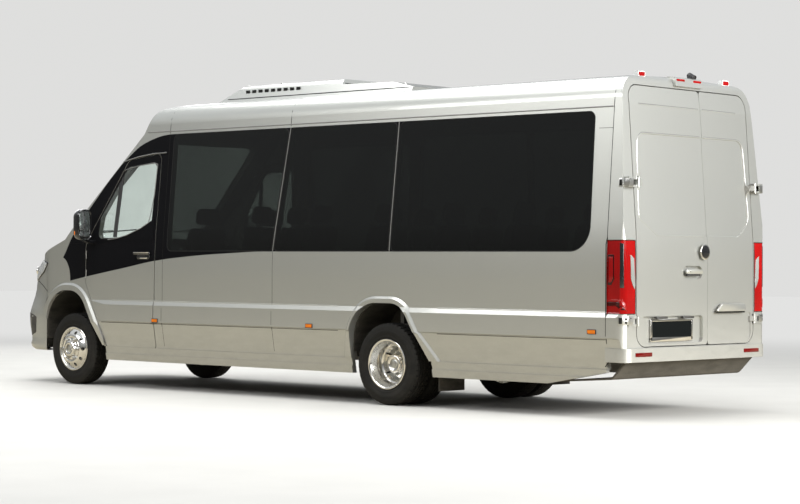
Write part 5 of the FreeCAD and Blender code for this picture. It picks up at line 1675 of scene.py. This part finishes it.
def nose_point(degrees, z, lift=0.0):
    """Point of the finished nose at a turn about its axis, positive to the left."""
    tree = skin("front_bumper", "grille", "headlamps", "front_wings", "cab_frame")
    angle = math.radians(degrees)
    away = Vector((math.cos(angle), math.sin(angle), 0))
    axis = Vector((NOSE_AXIS, 0, z))
    place = hit(tree, axis + away * 2.0, -away, axis + away * 0.9)
    turn = abs(degrees)
    # The swell rises from the grille's end, or from further in below it, and fades backwards
    start = GRILLE_TURN + 1.4 if z > 0.79 else 27.0 + 14.0 * smooth_step((z - 0.68) / 0.11)
    share = smooth_step((turn - start) / (SWELL_FULL - start))
    share *= 1 - smooth_step((turn - SWELL_FADES) / (NOSE_TURN - SWELL_FADES))
    place = place + away * (swell_at(z) * share + 0.0015 + lift)
    place.x = min(place.x, CAD_BOX[1][0] - 0.002 + lift)
    return place


def nose_patch(name, corners, lift, material, slot, radius=0.02, thick=0.006):
    """A panel on the nose whose corners are (turn in degrees, height)."""
    outline = rounded_path([(a / TURN_SCALE, z, radius) for a, z in corners], 4)
    dense = dense_outline(outline, 0.03, lambda move: move.length)
    centre = sum(dense, Vector((0, 0))) / len(dense)
    shape = Shape()
    rows = []
    for share, height in ((1.0, -thick), (1.0, lift - 0.001), (0.985, lift), (0.75, lift),
                          (0.5, lift), (0.25, lift), (0.02, lift)):
        ring_points = []
        for p in dense:
            q = centre + (p - centre) * share
            ring_points.append(nose_point(q.x * TURN_SCALE, q.y, height))
        rows.append(ring_points)
    shape.strip(rows, closed=True)
    shape.cap(rows[-1])
    return place_object(name, shape.mesh(name), "body", material)


# Panels on each half of the nose: name, corners (turn, height), lift, material, slot,
# corner radius, thickness
NOSE_PANELS = (
    ("headlamp_rim", ((75, 1.212), (64, 1.238), (57, 1.236), (43.5, 1.165), (42, 1.050),
                      (50, 1.010), (61, 1.028), (69, 1.105)),
     0.003, "black_gloss", "black_plastic", 0.014, 0.006),
    ("headlamp_lens", ((73, 1.202), (64, 1.225), (57.5, 1.222), (45, 1.156), (43.7, 1.062),
                       (50.4, 1.026), (60.2, 1.042), (67.4, 1.110)),
     0.006, "clear_lens", "clear_lens", 0.012, 0.001),
    ("corner_intake", ((30, 0.450), (58, 0.470), (63, 0.500), (64, 0.660), (60, 0.690),
                       (50, 0.705), (31, 0.640)),
     0.003, "black_plastic", "black_plastic", 0.02, 0.006),
)
# Lamps on each half of the nose: name, turn, height, radius
NOSE_LAMPS = (("dip", 48.0, 1.095, 0.042), ("main", 54.5, 1.125, 0.040),
              ("fog", 41.0, 0.570, 0.040))


def build_nose():
    """The nose's skin in place of the plain bumper, with its intakes, lamps and joints."""
    turns = [-NOSE_TURN + 2 * NOSE_TURN * i / 58 for i in range(59)]
    turns = sorted(turns + [-GRILLE_TURN, GRILLE_TURN])
    heights = [z for z, _ in NOSE_SWELL]
    shape = Shape()
    grid = [[nose_point(turn, z) for turn in turns] for z in heights]
    for z, low, high in zip(heights, grid, grid[1:]):
        for i, (a, b) in enumerate(zip(turns, turns[1:])):
            # The grille shows through above the bumper
            reach = GRILLE_TURN + 0.01 if z > 0.86 else 35.0
            if z > 0.80 and abs(a) <= reach and abs(b) <= reach:
                continue
            shape.add([low[i], low[i + 1], high[i + 1], high[i]], [[0, 1, 2, 3]])
    lips = [[nose_point(turn, heights[0], inset) + Vector((0, 0, drop)) for turn in turns]
            for inset, drop in ((0.0, 0.0), (-0.012, -0.010), (-0.060, -0.010), (-0.160, 0.0))]
    shape.strip(lips)
    bumper = place_object("bumper_skin", shape.mesh("bumper_skin"), "body", "silver_paint",
                          angle=50)
    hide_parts("front_bumper")
    nose_patch("lower_intake", ((-24, 0.440), (24, 0.440), (26, 0.640), (-26, 0.640)), 0.003,
               "black_plastic", "black_plastic", 0.03)
    for number, z in enumerate((0.485, 0.54, 0.595)):
        bead("intake_rib_%d" % number, [nose_point(turn, z, 0.006) for turn in range(-24, 25, 2)],
             0.006, "body", "black_gloss", "black_plastic")
    joint("bumper_fold", [nose_point(turn, 0.735) for turn in range(-38, 39, 2)], 0.005, 0.4,
          BACKWARD)
    for word, side in SIDES:
        for name, corners, *values in NOSE_PANELS:
            nose_patch("%s_%s" % (name, word), [(side * a, z) for a, z in corners], *values)
        for name, turn, z, radius in NOSE_LAMPS:
            place = nose_point(side * turn, z, 0.006)
            angle = math.radians(turn * 0.6)
            away = Vector((math.cos(angle), side * math.sin(angle), 0))
            lamp = Shape()
            add_lamp_rings(lamp, place, away, radius)
            place_object("%s_lamp_%s" % (name, word), lamp.mesh("lamp_rings"), "body", "chrome",
                         angle=60)
        joint("wing_joint_" + word,
              [nose_point(side * (61 + 12 * i / 8), 1.022 - 0.10 * (i / 8) ** 1.3)
               for i in range(9)], 0.0032)
    joint("bonnet_joint", [nose_point(turn, 1.262) for turn in range(-60, 61, 3)], 0.003, 0.6,
          BACKWARD)


def add_lamp_rings(shape, place, away, radius):
    """A stepped bowl that faces a direction."""
    turn = away.to_track_quat("Z", "Y")
    rows = []
    for share, height in ((1.0, -0.010), (1.0, 0.004), (0.93, 0.006), (0.84, 0.003),
                          (0.62, -0.002), (0.60, 0.000), (0.40, 0.006), (0.18, 0.008),
                          (0.02, 0.009)):
        rows.append(round_row(place, turn, share * radius, height, 28))
    shape.strip(rows, closed=True)
    shape.cap(rows[-1])


GRILLE_BARS = 5


def build_front():
    """Nose, grille bars and wipers."""
    build_nose()
    nose = skin("grille", "headlamps")
    low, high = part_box("grille")
    for number in range(GRILLE_BARS):
        share = number / (GRILLE_BARS - 1)
        z = low.z + 0.030 + (high.z - low.z - 0.06) * share
        reach = 0.50 + 0.055 * share
        points = [front_point(nose, i / 4 * reach, z, 0.001) for i in range(-4, 5)]
        bead("grille_bar_%d" % number, points, 0.0065, "body", "chrome", "grey_paint")
    screen = skin("windscreen")
    for word, y0, y1 in (("left", 0.60, 0.02), ("right", -0.06, -0.66)):
        starts = [(CLEAR_AHEAD, y0 + (y1 - y0) * i / 8, 1.50 + 0.05 * i / 8) for i in range(9)]
        blade = [p + Vector((0.011, 0, 0.008)) for p in hits(screen, starts, BACKWARD)]
        bead("wiper_blade_" + word, blade, 0.007, "body", "seal_rubber", "black_plastic")
        base = Vector((3.17, y0 + 0.10, 1.462))
        end = blade[len(blade) // 2] + Vector((0.012, 0, 0.010))
        arm = [base.lerp(end, t) + Vector((0, 0, 0.022 * math.sin(math.pi * t)))
               for t in [i / 5 for i in range(6)]]
        bead("wiper_arm_" + word, arm, 0.006, "body", "black_plastic", "black_plastic")


# Seats


def cushion(shape, rows, mark=0):
    """A closed form through rounded sections."""
    shape.strip(rows, closed=True, mark=mark)
    shape.cap(rows[0][::-1], mark)
    shape.cap(rows[-1], mark)


def rounded_section(width, depth, radius, place, across, along, steps=4):
    """Rounded rectangle about a place, spanned by two directions."""
    outline = capsule(-width / 2, width / 2, -depth / 2, depth / 2, radius, steps)
    return [place + across * p.x + along * p.y for p in outline]


SEAT_FLOOR = 0.6903
PAD_VOXEL = 0.016
PAD_PRESSURE = 4.0
PAD_FRAMES = 20
PAD_ROUNDING = 0.42
# How wide the patterned cloth runs to each side of a pad's middle, as a share of the seat
PATTERN_SHARE = 0.29

# Sections of a seat's pads, each (along or up the back, height or ahead, share of the
# width, thickness); the cushion runs back to front, the back and head restraint upwards
CUSHION_ROWS = (
    (-0.452, 0.352, 0.88, 0.080), (-0.40, 0.350, 0.95, 0.110), (-0.22, 0.357, 0.96, 0.116),
    (-0.08, 0.366, 0.96, 0.112), (-0.015, 0.368, 0.93, 0.095), (0.006, 0.360, 0.86, 0.050),
)
BACK_ROWS = (
    (0.015, 0.0, 0.88, 0.070), (0.05, 0.0, 0.95, 0.092), (0.30, 0.0, 0.96, 0.092),
    (0.42, 0.0, 0.92, 0.084), (0.475, 0.0, 0.80, 0.060),
)
HEAD_ROWS = (
    (0.505, 0.0, 0.50, 0.055), (0.525, 0.0, 0.58, 0.072), (0.60, 0.0, 0.58, 0.076),
    (0.645, 0.0, 0.52, 0.062), (0.664, 0.0, 0.42, 0.036),
)
BACK_FOOT = Vector((-0.435, 0.0, 0.40))
BACK_LEAN = Vector((-0.197, 0.0, 0.98)).normalized()
BACK_AHEAD = Vector((BACK_LEAN.z, 0.0, -BACK_LEAN.x))


def filled_pad(shape, most):
    """A pad's closed form, remeshed and blown up by cloth under pressure, within a limit."""
    mesh = shape.mesh("pad_form")
    form = bpy.data.objects.new("pad_form", mesh)
    bpy.context.scene.collection.objects.link(form)
    remesh = form.modifiers.new("Remesh", "REMESH")
    remesh.mode = "VOXEL"
    remesh.voxel_size = PAD_VOXEL
    bpy.context.view_layer.update()
    graph = bpy.context.evaluated_depsgraph_get()
    even = bpy.data.meshes.new_from_object(form.evaluated_get(graph))
    form.modifiers.clear()
    form.data = even
    start = [v.co.copy() for v in even.vertices]
    cloth = form.modifiers.new("Cloth", "CLOTH")
    cloth.settings.use_pressure = True
    cloth.settings.uniform_pressure_force = PAD_PRESSURE
    cloth.settings.effector_weights.gravity = 0.0
    for number in range(1, PAD_FRAMES + 1):
        bpy.context.scene.frame_set(number)
    graph = bpy.context.evaluated_depsgraph_get()
    blown = bpy.data.meshes.new_from_object(form.evaluated_get(graph))
    for vert, old, new in zip(even.vertices, start, blown.vertices):
        move = new.co - old
        vert.co = old + move * min(1.0, most / max(move.length, 1e-6))
    form.modifiers.clear()
    bpy.data.meshes.remove(blown)
    bpy.context.scene.frame_set(1)
    points = [v.co.copy() for v in even.vertices]
    faces = [list(p.vertices) for p in even.polygons]
    bpy.data.objects.remove(form)
    bpy.data.meshes.remove(even)
    return points, faces


def seat_pads(width, most):
    """Points and faces of one seat's filled pads, its front edge and middle at the origin."""
    across, upward = Vector((0, 1, 0)), Vector((0, 0, 1))
    pads = []
    for rows, on_back in ((CUSHION_ROWS, False), (BACK_ROWS, True), (HEAD_ROWS, True)):
        sections = []
        for a, b, share, thick in rows:
            place = BACK_FOOT + BACK_LEAN * a if on_back else Vector((a, 0, b))
            sections.append(rounded_section(width * share, thick, thick * PAD_ROUNDING, place,
                                            across, BACK_AHEAD if on_back else upward))
        form = Shape()
        cushion(form, sections)
        pads.append((filled_pad(form, most), on_back))
    return pads


def add_pads(shape, pads, front, y, width):
    """A copy of the filled pads; faces on the sitter's side carry the patterned cloth."""
    offset = Vector((front, y, SEAT_FLOOR))
    for (points, faces), on_back in pads:
        facing = BACK_AHEAD if on_back else Vector((0, 0, 1))
        plain, middle_faces = [], []
        for face in faces:
            corners = [points[i] for i in face]
            centre = sum(corners, Vector()) / len(corners)
            normal = (corners[1] - corners[0]).cross(corners[2] - corners[1]).normalized()
            inner = abs(centre.y) < width * PATTERN_SHARE and normal.dot(facing) > 0.3
            (middle_faces if inner else plain).append(face)
        start = len(shape.verts)
        shape.verts += [p + offset for p in points]
        for chosen, mark in ((plain, 1), (middle_faces, 0)):
            shape.faces += [[start + i for i in face] for face in chosen]
            shape.marks += [mark] * len(chosen)


def add_seat_frame(shape, front, y, width):
    """Legs, rails, a back shell, an armrest and the head restraint's posts."""
    base = SEAT_FLOOR
    for side in (-1, 1):
        leg = y + side * (width / 2 - 0.06)
        shape.box((front - 0.40, leg - 0.018, base), (front - 0.36, leg + 0.018, base + 0.27), 3)
        shape.box((front - 0.13, leg - 0.018, base), (front - 0.09, leg + 0.018, base + 0.27), 3)
        shape.box((front - 0.42, leg - 0.022, base), (front - 0.07, leg + 0.022, base + 0.012), 3)
        shape.box((front - 0.44, leg - 0.024, base + 0.255),
                  (front - 0.04, leg + 0.024, base + 0.305), 2)
    across = Vector((0, 1, 0))
    foot = BACK_FOOT + Vector((front, y, base)) - BACK_AHEAD * 0.052
    rows = []
    for up, share, thick in ((-0.02, 0.86, 0.014), (0.0, 0.90, 0.022), (0.42, 0.88, 0.022),
                             (0.47, 0.76, 0.014)):
        rows.append(rounded_section(width * share, thick, thick * 0.45, foot + BACK_LEAN * up,
                                    across, BACK_AHEAD))
    cushion(shape, rows, 2)
    for side in (-1, 1):
        post = foot + BACK_AHEAD * 0.052 + across * (side * 0.055)
        rows = [rounded_section(0.012, 0.012, 0.005, post + BACK_LEAN * up, across, BACK_AHEAD)
                for up in (0.45, 0.53)]
        cushion(shape, rows, 3)
    arm = y + width / 2 - 0.022
    rows = []
    for x, rise, thick in ((-0.50, 0.535, 0.030), (-0.46, 0.545, 0.044), (-0.20, 0.560, 0.044),
                           (-0.15, 0.560, 0.034)):
        rows.append(rounded_section(0.040, thick, 0.014, Vector((front + x, arm, base + rise)),
                                    across, Vector((0, 0, 1))))
    cushion(shape, rows, 2)


def seat_places(node):
    """Front, centre across and width of each seat in a node."""
    bm = bmesh.new()
    bm.from_mesh(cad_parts[node].data)
    bmesh.ops.remove_doubles(bm, verts=bm.verts, dist=1e-5)
    seen, places = set(), []
    for vert in bm.verts:
        if vert in seen:
            continue
        stack, found = [vert], []
        while stack:
            here = stack.pop()
            if here in seen:
                continue
            seen.add(here)
            found.append(here.co.copy())
            stack += [e.other_vert(here) for e in here.link_edges]
        ys = [p.y for p in found]
        places.append((max(p.x for p in found) - 0.020, (min(ys) + max(ys)) / 2,
                       max(ys) - min(ys)))
    bm.free()
    return places


def build_seats(sizes):
    """Padded seats in place of the plain ones; one is filled and copied to every place."""
    places = {node: seat_places(node) for node in ("cab_seats", "passenger_seats")}
    widths = {node: places[node][0][2] - 0.004 for node in places}
    pads = {node: seat_pads(width, sizes.swell) for node, width in widths.items()}
    for node in places:
        shape = Shape()
        for front, y, _ in places[node]:
            add_pads(shape, pads[node], front, y, widths[node])
            add_seat_frame(shape, front, y, widths[node])
        mesh = shape.mesh("padded_" + node, ("seat_fabric", "seat_edge", "black_plastic",
                                             "axle_steel"))
        seats = place_object("padded_" + node, mesh, "body", "seat_fabric",
                             angle=50)
        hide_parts(node)


# Roof

# How far across the rear camera stands
CAMERA_Y = -0.085
LOUVRES = 9
LOUVRE_PITCH = 0.085


def build_roof_gear():
    """Louvres, lid joint and bolts of the air unit, roof lamps and the rear camera."""
    tree = skin("roof_air_unit")
    low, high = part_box("roof_air_unit")
    for side in (-1, 1):
        for number in range(LOUVRES):
            x = low.x + 1.45 + LOUVRE_PITCH * number
            place = hit(tree, (x, side * 1.2, high.z - 0.075), (0, -side, 0))
            if place is None:
                continue
            shape = Shape()
            shape.box((x, place.y - 0.004, high.z - 0.105),
                      (x + 0.050, place.y + 0.003, high.z - 0.050))
            place_object("louvre_%d_%d" % (side + 1, number), shape.mesh("louvre"), "body",
                         "joint_shadow")
        starts = [(low.x + 0.05 + (high.x - low.x - 0.10) * i / 30, side * 1.2, ROOF + 0.022)
                  for i in range(31)]
        joint("air_unit_rim_%d" % (side + 1), hits(tree, starts, (0, -side, 0)), 0.006, 0.5,
              Vector((0, -side, 0)))
    for number, x in enumerate((high.x - 0.62, low.x + 0.92, low.x + 0.42)):
        starts = [(x, i / 12 * 0.50, CLEAR_ABOVE) for i in range(-12, 13)]
        joint("air_unit_joint_%d" % number, hits(tree, starts, DOWN), 0.005, 0.6, DOWN)
    bolts = Shape()
    starts = [(x, side * 0.47, CLEAR_ABOVE)
              for x in (low.x + 0.20, low.x + 0.75, high.x - 0.75, high.x - 0.30)
              for side in (-1, 1)]
    for place in hits(tree, starts, DOWN):
        hex_bolt(bolts, place, (0, 0, 1), 0.009, 0.008)
    place_object("air_unit_bolts", bolts.mesh("air_unit_bolts"), "body", "bolt_steel")

    low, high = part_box("roof_marker_lamps")
    for word, side in SIDES:
        y = side * (high.y - 0.046)
        lens = Shape()
        slab(lens, capsule(y - 0.040, y + 0.040, high.z - 0.040, high.z - 0.006, 0.010),
             lambda a, b, d: Vector((low.x - d + 0.001, a, b)), 0.0, 0.003, 0.002)
        place_object("roof_lamp_lens_" + word, lens.mesh("roof_lamp_lens"), "body", "red_lens")

    low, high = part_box("rear_camera")
    face = skin("rear_camera")
    for word, side in SIDES:
        y = side * 0.115
        place = hit(face, (low.x - 1, y, high.z - 0.030), FORWARD, Vector((low.x, y, high.z)))
        strip = Shape()
        slab(strip, capsule(y - 0.055, y + 0.055, high.z - 0.040, high.z - 0.022, 0.006),
             lambda a, b, d: Vector((place.x - d, a, b)), -0.004, 0.004, 0.002)
        place_object("camera_lamp_" + word, strip.mesh("camera_lamp"), "body", "red_lens")
    camera = Shape()
    centre = Vector((low.x + 0.048, CAMERA_Y, high.z + 0.014))
    tilt = Vector((-0.86, 0, -0.5)).normalized()
    turn = tilt.to_track_quat("Z", "Y")
    rows = []
    for r, along in ((0.004, -0.034), (0.019, -0.033), (0.024, -0.026), (0.025, 0.0),
                     (0.024, 0.020), (0.027, 0.024), (0.027, 0.036), (0.022, 0.036),
                     (0.018, 0.028), (0.003, 0.030)):
        rows.append(round_row(centre, turn, r, along, 24))
    cushion(camera, rows)
    for across in (-0.033, 0.025):
        camera.box((low.x + 0.030, CAMERA_Y + across, high.z - 0.020),
                   (low.x + 0.066, CAMERA_Y + across + 0.008, high.z + 0.020))
    place_object("camera_body", camera.mesh("camera_body"), "body", "black_plastic")


# Studio


CAMERA_PLACE = (-14.094, 14.441, 1.2107)
CAMERA_YAW = -47.117
CAMERA_PITCH = 0.734
CAMERA_ROLL = 0.357
CAMERA_LENS = 96.89
CAMERA_SHIFT = (-0.0067, -0.0187)


def build_camera():
    """The camera at the photograph's place and angle."""
    yaw, pitch, roll = (math.radians(a) for a in (CAMERA_YAW, CAMERA_PITCH, CAMERA_ROLL))
    ahead = Vector((math.cos(pitch) * math.cos(yaw), math.cos(pitch) * math.sin(yaw),
                    math.sin(pitch)))
    right = ahead.cross(Vector((0, 0, 1))).normalized()
    up = right.cross(ahead)
    right, up = (math.cos(roll) * right + math.sin(roll) * up,
                 math.cos(roll) * up - math.sin(roll) * right)
    data = bpy.data.cameras.new("photo_camera")
    data.lens = CAMERA_LENS
    data.sensor_width = 36.0
    data.shift_x, data.shift_y = CAMERA_SHIFT
    data.clip_end = 200.0
    camera = bpy.data.objects.new("photo_camera", data)
    matrix = Matrix((right, up, -ahead)).transposed().to_4x4()
    matrix.translation = CAMERA_PLACE
    camera.matrix_world = matrix
    bpy.context.scene.collection.objects.link(camera)
    bpy.context.scene.camera = camera


# Softboxes: name, place, aim, size, energy
SOFTBOXES = (
    ("top_softbox", (1.5, 1.0, 9.0), (0.5, 0, 1.0), (12.0, 6.0), 1030.0),
    ("left_softbox", (3.0, 12.0, 7.0), (1.0, 0, 1.6), (12.0, 3.0), 540.0),
    ("rear_softbox", (-13.0, -0.5, 4.0), (-3.5, 0, 1.4), (8.0, 5.0), 2120.0),
    ("front_softbox", (11.0, -5.0, 5.0), (1.0, 0, 1.0), (6.0, 4.0), 260.0),
)


# What the camera sees behind the floor's edge, and the colour that the floor reflects
BACKDROP = (0.80, 0.80, 0.79, 1)
BACKDROP_STRENGTH = 0.92
FLOOR_BOUNCE = (0.42, 0.38, 0.29, 1)
FLOOR_REACH = 60.0
FLOOR_SQUARES = 24


def build_studio(colours):
    """Pale floor, soft lamps and a light world."""
    shape = Shape()
    ticks = [-FLOOR_REACH + 2 * FLOOR_REACH * i / FLOOR_SQUARES
             for i in range(FLOOR_SQUARES + 1)]
    shape.strip([[(a, b, 0) for a in ticks] for b in ticks])
    mesh = shape.mesh("studio_floor")
    material, tree, shader = new_material("studio_floor")
    tone = add_node(tree, "TexNoise", Vector=object_place(tree), Scale=1.6, Detail=6.0).outputs[0]
    colour = add_node(tree, "HueSaturation", Color=rgba(colours.floor),
                      Value=ramp(tree, tone, 0.2, 0.8, 0.97, 1.03)).outputs[0]
    path = add_node(tree, "LightPath").outputs
    seen = maths(tree, "MAXIMUM", path["Is Camera Ray"], path["Is Transmission Ray"])
    colour = blend_colours(tree, seen, FLOOR_BOUNCE, colour)
    away = add_node(tree, "VectorMath", {"operation": "LENGTH"},
                    i0=object_place(tree)).outputs["Value"]
    far = maths(tree, "MULTIPLY", ramp(tree, away, 6.0, 19.0), seen)
    colour = blend_colours(tree, far, colour, (0, 0, 0, 1))
    set_shader(tree, shader, Base_Color=colour, Roughness=0.75, Specular_IOR_Level=0.1,
               Emission_Color=BACKDROP,
               Emission_Strength=maths(tree, "MULTIPLY", far, BACKDROP_STRENGTH))
    mesh.materials.append(material)
    floor = bpy.data.objects.new("studio_floor", mesh)
    bpy.context.scene.collection.objects.link(floor)

    for name, place, aim, size, energy in SOFTBOXES:
        data = bpy.data.lights.new(name, "AREA")
        data.shape = "RECTANGLE"
        data.size, data.size_y = size
        data.energy = energy
        lamp = bpy.data.objects.new(name, data)
        lamp.location = place
        direction = Vector(aim) - Vector(place)
        lamp.rotation_mode = "QUATERNION"
        lamp.rotation_quaternion = direction.to_track_quat("-Z", "Y")
        bpy.context.scene.collection.objects.link(lamp)

    world = bpy.data.worlds.new("studio_world")
    world.use_nodes = True
    tree = world.node_tree
    back = tree.nodes["Background"]
    height = add_node(tree, "SeparateXYZ", Vector=add_node(tree, "TexCoord").outputs[
        "Generated"]).outputs[2]
    sky = blend_colours(tree, ramp(tree, height, -0.05, 0.6), (0.16, 0.16, 0.15, 1),
                        (0.72, 0.75, 0.78, 1))
    path = add_node(tree, "LightPath").outputs
    seen = maths(tree, "MAXIMUM", path["Is Camera Ray"], path["Is Transmission Ray"])
    colour = blend_colours(tree, seen, sky, BACKDROP)
    tree.links.new(colour, back.inputs["Color"])
    back.inputs["Strength"].default_value = BACKDROP_STRENGTH
    bpy.context.scene.world = world
    bpy.context.scene.view_settings.view_transform = "Standard"


# Operators


def colours_of(context):
    """The colours set in the scene."""
    return context.scene.minibus_colours


def sizes_of(context):
    """The sizes set in the scene."""
    return context.scene.minibus_sizes


class MINIBUS_OT_materials(bpy.types.Operator):
    """Make every finish and give each built node its own"""

    bl_idname = "minibus.materials"
    bl_label = "Finishes"

    def execute(self, context):
        make_materials(colours_of(context))
        finish_nodes()
        return {"FINISHED"}


class MINIBUS_OT_tyres(bpy.types.Operator):
    """Put treaded tyres in place of the plain ones"""

    bl_idname = "minibus.tyres"
    bl_label = "Tyres"

    def execute(self, context):
        build_tyres(sizes_of(context))
        return {"FINISHED"}


class MINIBUS_OT_wheel_trims(bpy.types.Operator):
    """Fit polished trims, nuts, hubs and valves to the wheels"""

    bl_idname = "minibus.wheel_trims"
    bl_label = "Wheel trims"

    def execute(self, context):
        build_wheel_trims(sizes_of(context))
        return {"FINISHED"}


class MINIBUS_OT_seams(bpy.types.Operator):
    """Lay panel joints, gutters, seals and window dividers on the body"""

    bl_idname = "minibus.seams"
    bl_label = "Seams and seals"

    def execute(self, context):
        build_seams(sizes_of(context))
        return {"FINISHED"}


class MINIBUS_OT_rear_doors(bpy.types.Operator):
    """Fit the handle, grip, plate frame, lamps, badge and hinge leaves to the rear doors"""

    bl_idname = "minibus.rear_doors"
    bl_label = "Rear doors"

    def execute(self, context):
        build_rear_doors()
        return {"FINISHED"}


class MINIBUS_OT_tail_lamps(bpy.types.Operator):
    """Fit the lenses and chambers of the tail lamps and the reflectors"""

    bl_idname = "minibus.tail_lamps"
    bl_label = "Tail lamps"

    def execute(self, context):
        build_tail_lamps()
        return {"FINISHED"}


class MINIBUS_OT_side_details(bpy.types.Operator):
    """Fit the door handles and the frames of the side marker lamps"""

    bl_idname = "minibus.side_details"
    bl_label = "Side details"

    def execute(self, context):
        build_side_details()
        return {"FINISHED"}


class MINIBUS_OT_mirrors(bpy.types.Operator):
    """Put rounded mirrors with glasses and indicators in place of the plain ones"""

    bl_idname = "minibus.mirrors"
    bl_label = "Mirrors"

    def execute(self, context):
        build_mirrors()
        return {"FINISHED"}


class MINIBUS_OT_front(bpy.types.Operator):
    """Dress the nose: grille bars, intake, lamps and wipers"""

    bl_idname = "minibus.front"
    bl_label = "Front"

    def execute(self, context):
        build_front()
        return {"FINISHED"}


class MINIBUS_OT_seats(bpy.types.Operator):
    """Put padded seats in place of the plain ones"""

    bl_idname = "minibus.seats"
    bl_label = "Seats"

    def execute(self, context):
        build_seats(sizes_of(context))
        return {"FINISHED"}


class MINIBUS_OT_roof_gear(bpy.types.Operator):
    """Dress the air unit, the roof lamps and the rear camera"""

    bl_idname = "minibus.roof_gear"
    bl_label = "Roof gear"

    def execute(self, context):
        build_roof_gear()
        return {"FINISHED"}


class MINIBUS_OT_stage(bpy.types.Operator):
    """Set the floor, the lamps, the world and the camera"""

    bl_idname = "minibus.stage"
    bl_label = "Studio"

    def execute(self, context):
        build_studio(colours_of(context))
        build_camera()
        return {"FINISHED"}


class MINIBUS_PT_panel(bpy.types.Panel):
    """Lists the minibus's settings and steps"""

    bl_idname = "MINIBUS_PT_panel"
    bl_label = "Minibus"
    bl_space_type = "VIEW_3D"
    bl_region_type = "UI"
    bl_category = "Minibus"

    def draw(self, context):
        column = self.layout.column()
        for settings in (colours_of(context), sizes_of(context)):
            for name in settings.__annotations__:
                column.prop(settings, name)
        for operator in OPERATORS:
            column.operator(operator.bl_idname)


OPERATORS = (
    MINIBUS_OT_materials,
    MINIBUS_OT_tyres,
    MINIBUS_OT_wheel_trims,
    MINIBUS_OT_seams,
    MINIBUS_OT_rear_doors,
    MINIBUS_OT_tail_lamps,
    MINIBUS_OT_side_details,
    MINIBUS_OT_mirrors,
    MINIBUS_OT_front,
    MINIBUS_OT_seats,
    MINIBUS_OT_roof_gear,
    MINIBUS_OT_stage,
)
CLASSES = (MinibusColours, MinibusSizes, *OPERATORS, MINIBUS_PT_panel)


def register():
    """Adds the classes and the two groups of settings to Blender."""
    for item in CLASSES:
        bpy.utils.register_class(item)
    bpy.types.Scene.minibus_colours = bpy.props.PointerProperty(type=MinibusColours)
    bpy.types.Scene.minibus_sizes = bpy.props.PointerProperty(type=MinibusSizes)


def unregister():
    """Takes away what register added."""
    del bpy.types.Scene.minibus_sizes
    del bpy.types.Scene.minibus_colours
    for item in reversed(CLASSES):
        bpy.utils.unregister_class(item)


def main():
    """Runs each step in order."""
    register()
    for operator in OPERATORS:
        module, name = operator.bl_idname.split(".")
        getattr(getattr(bpy.ops, module), name)()


if __name__ == "__main__":
    main()
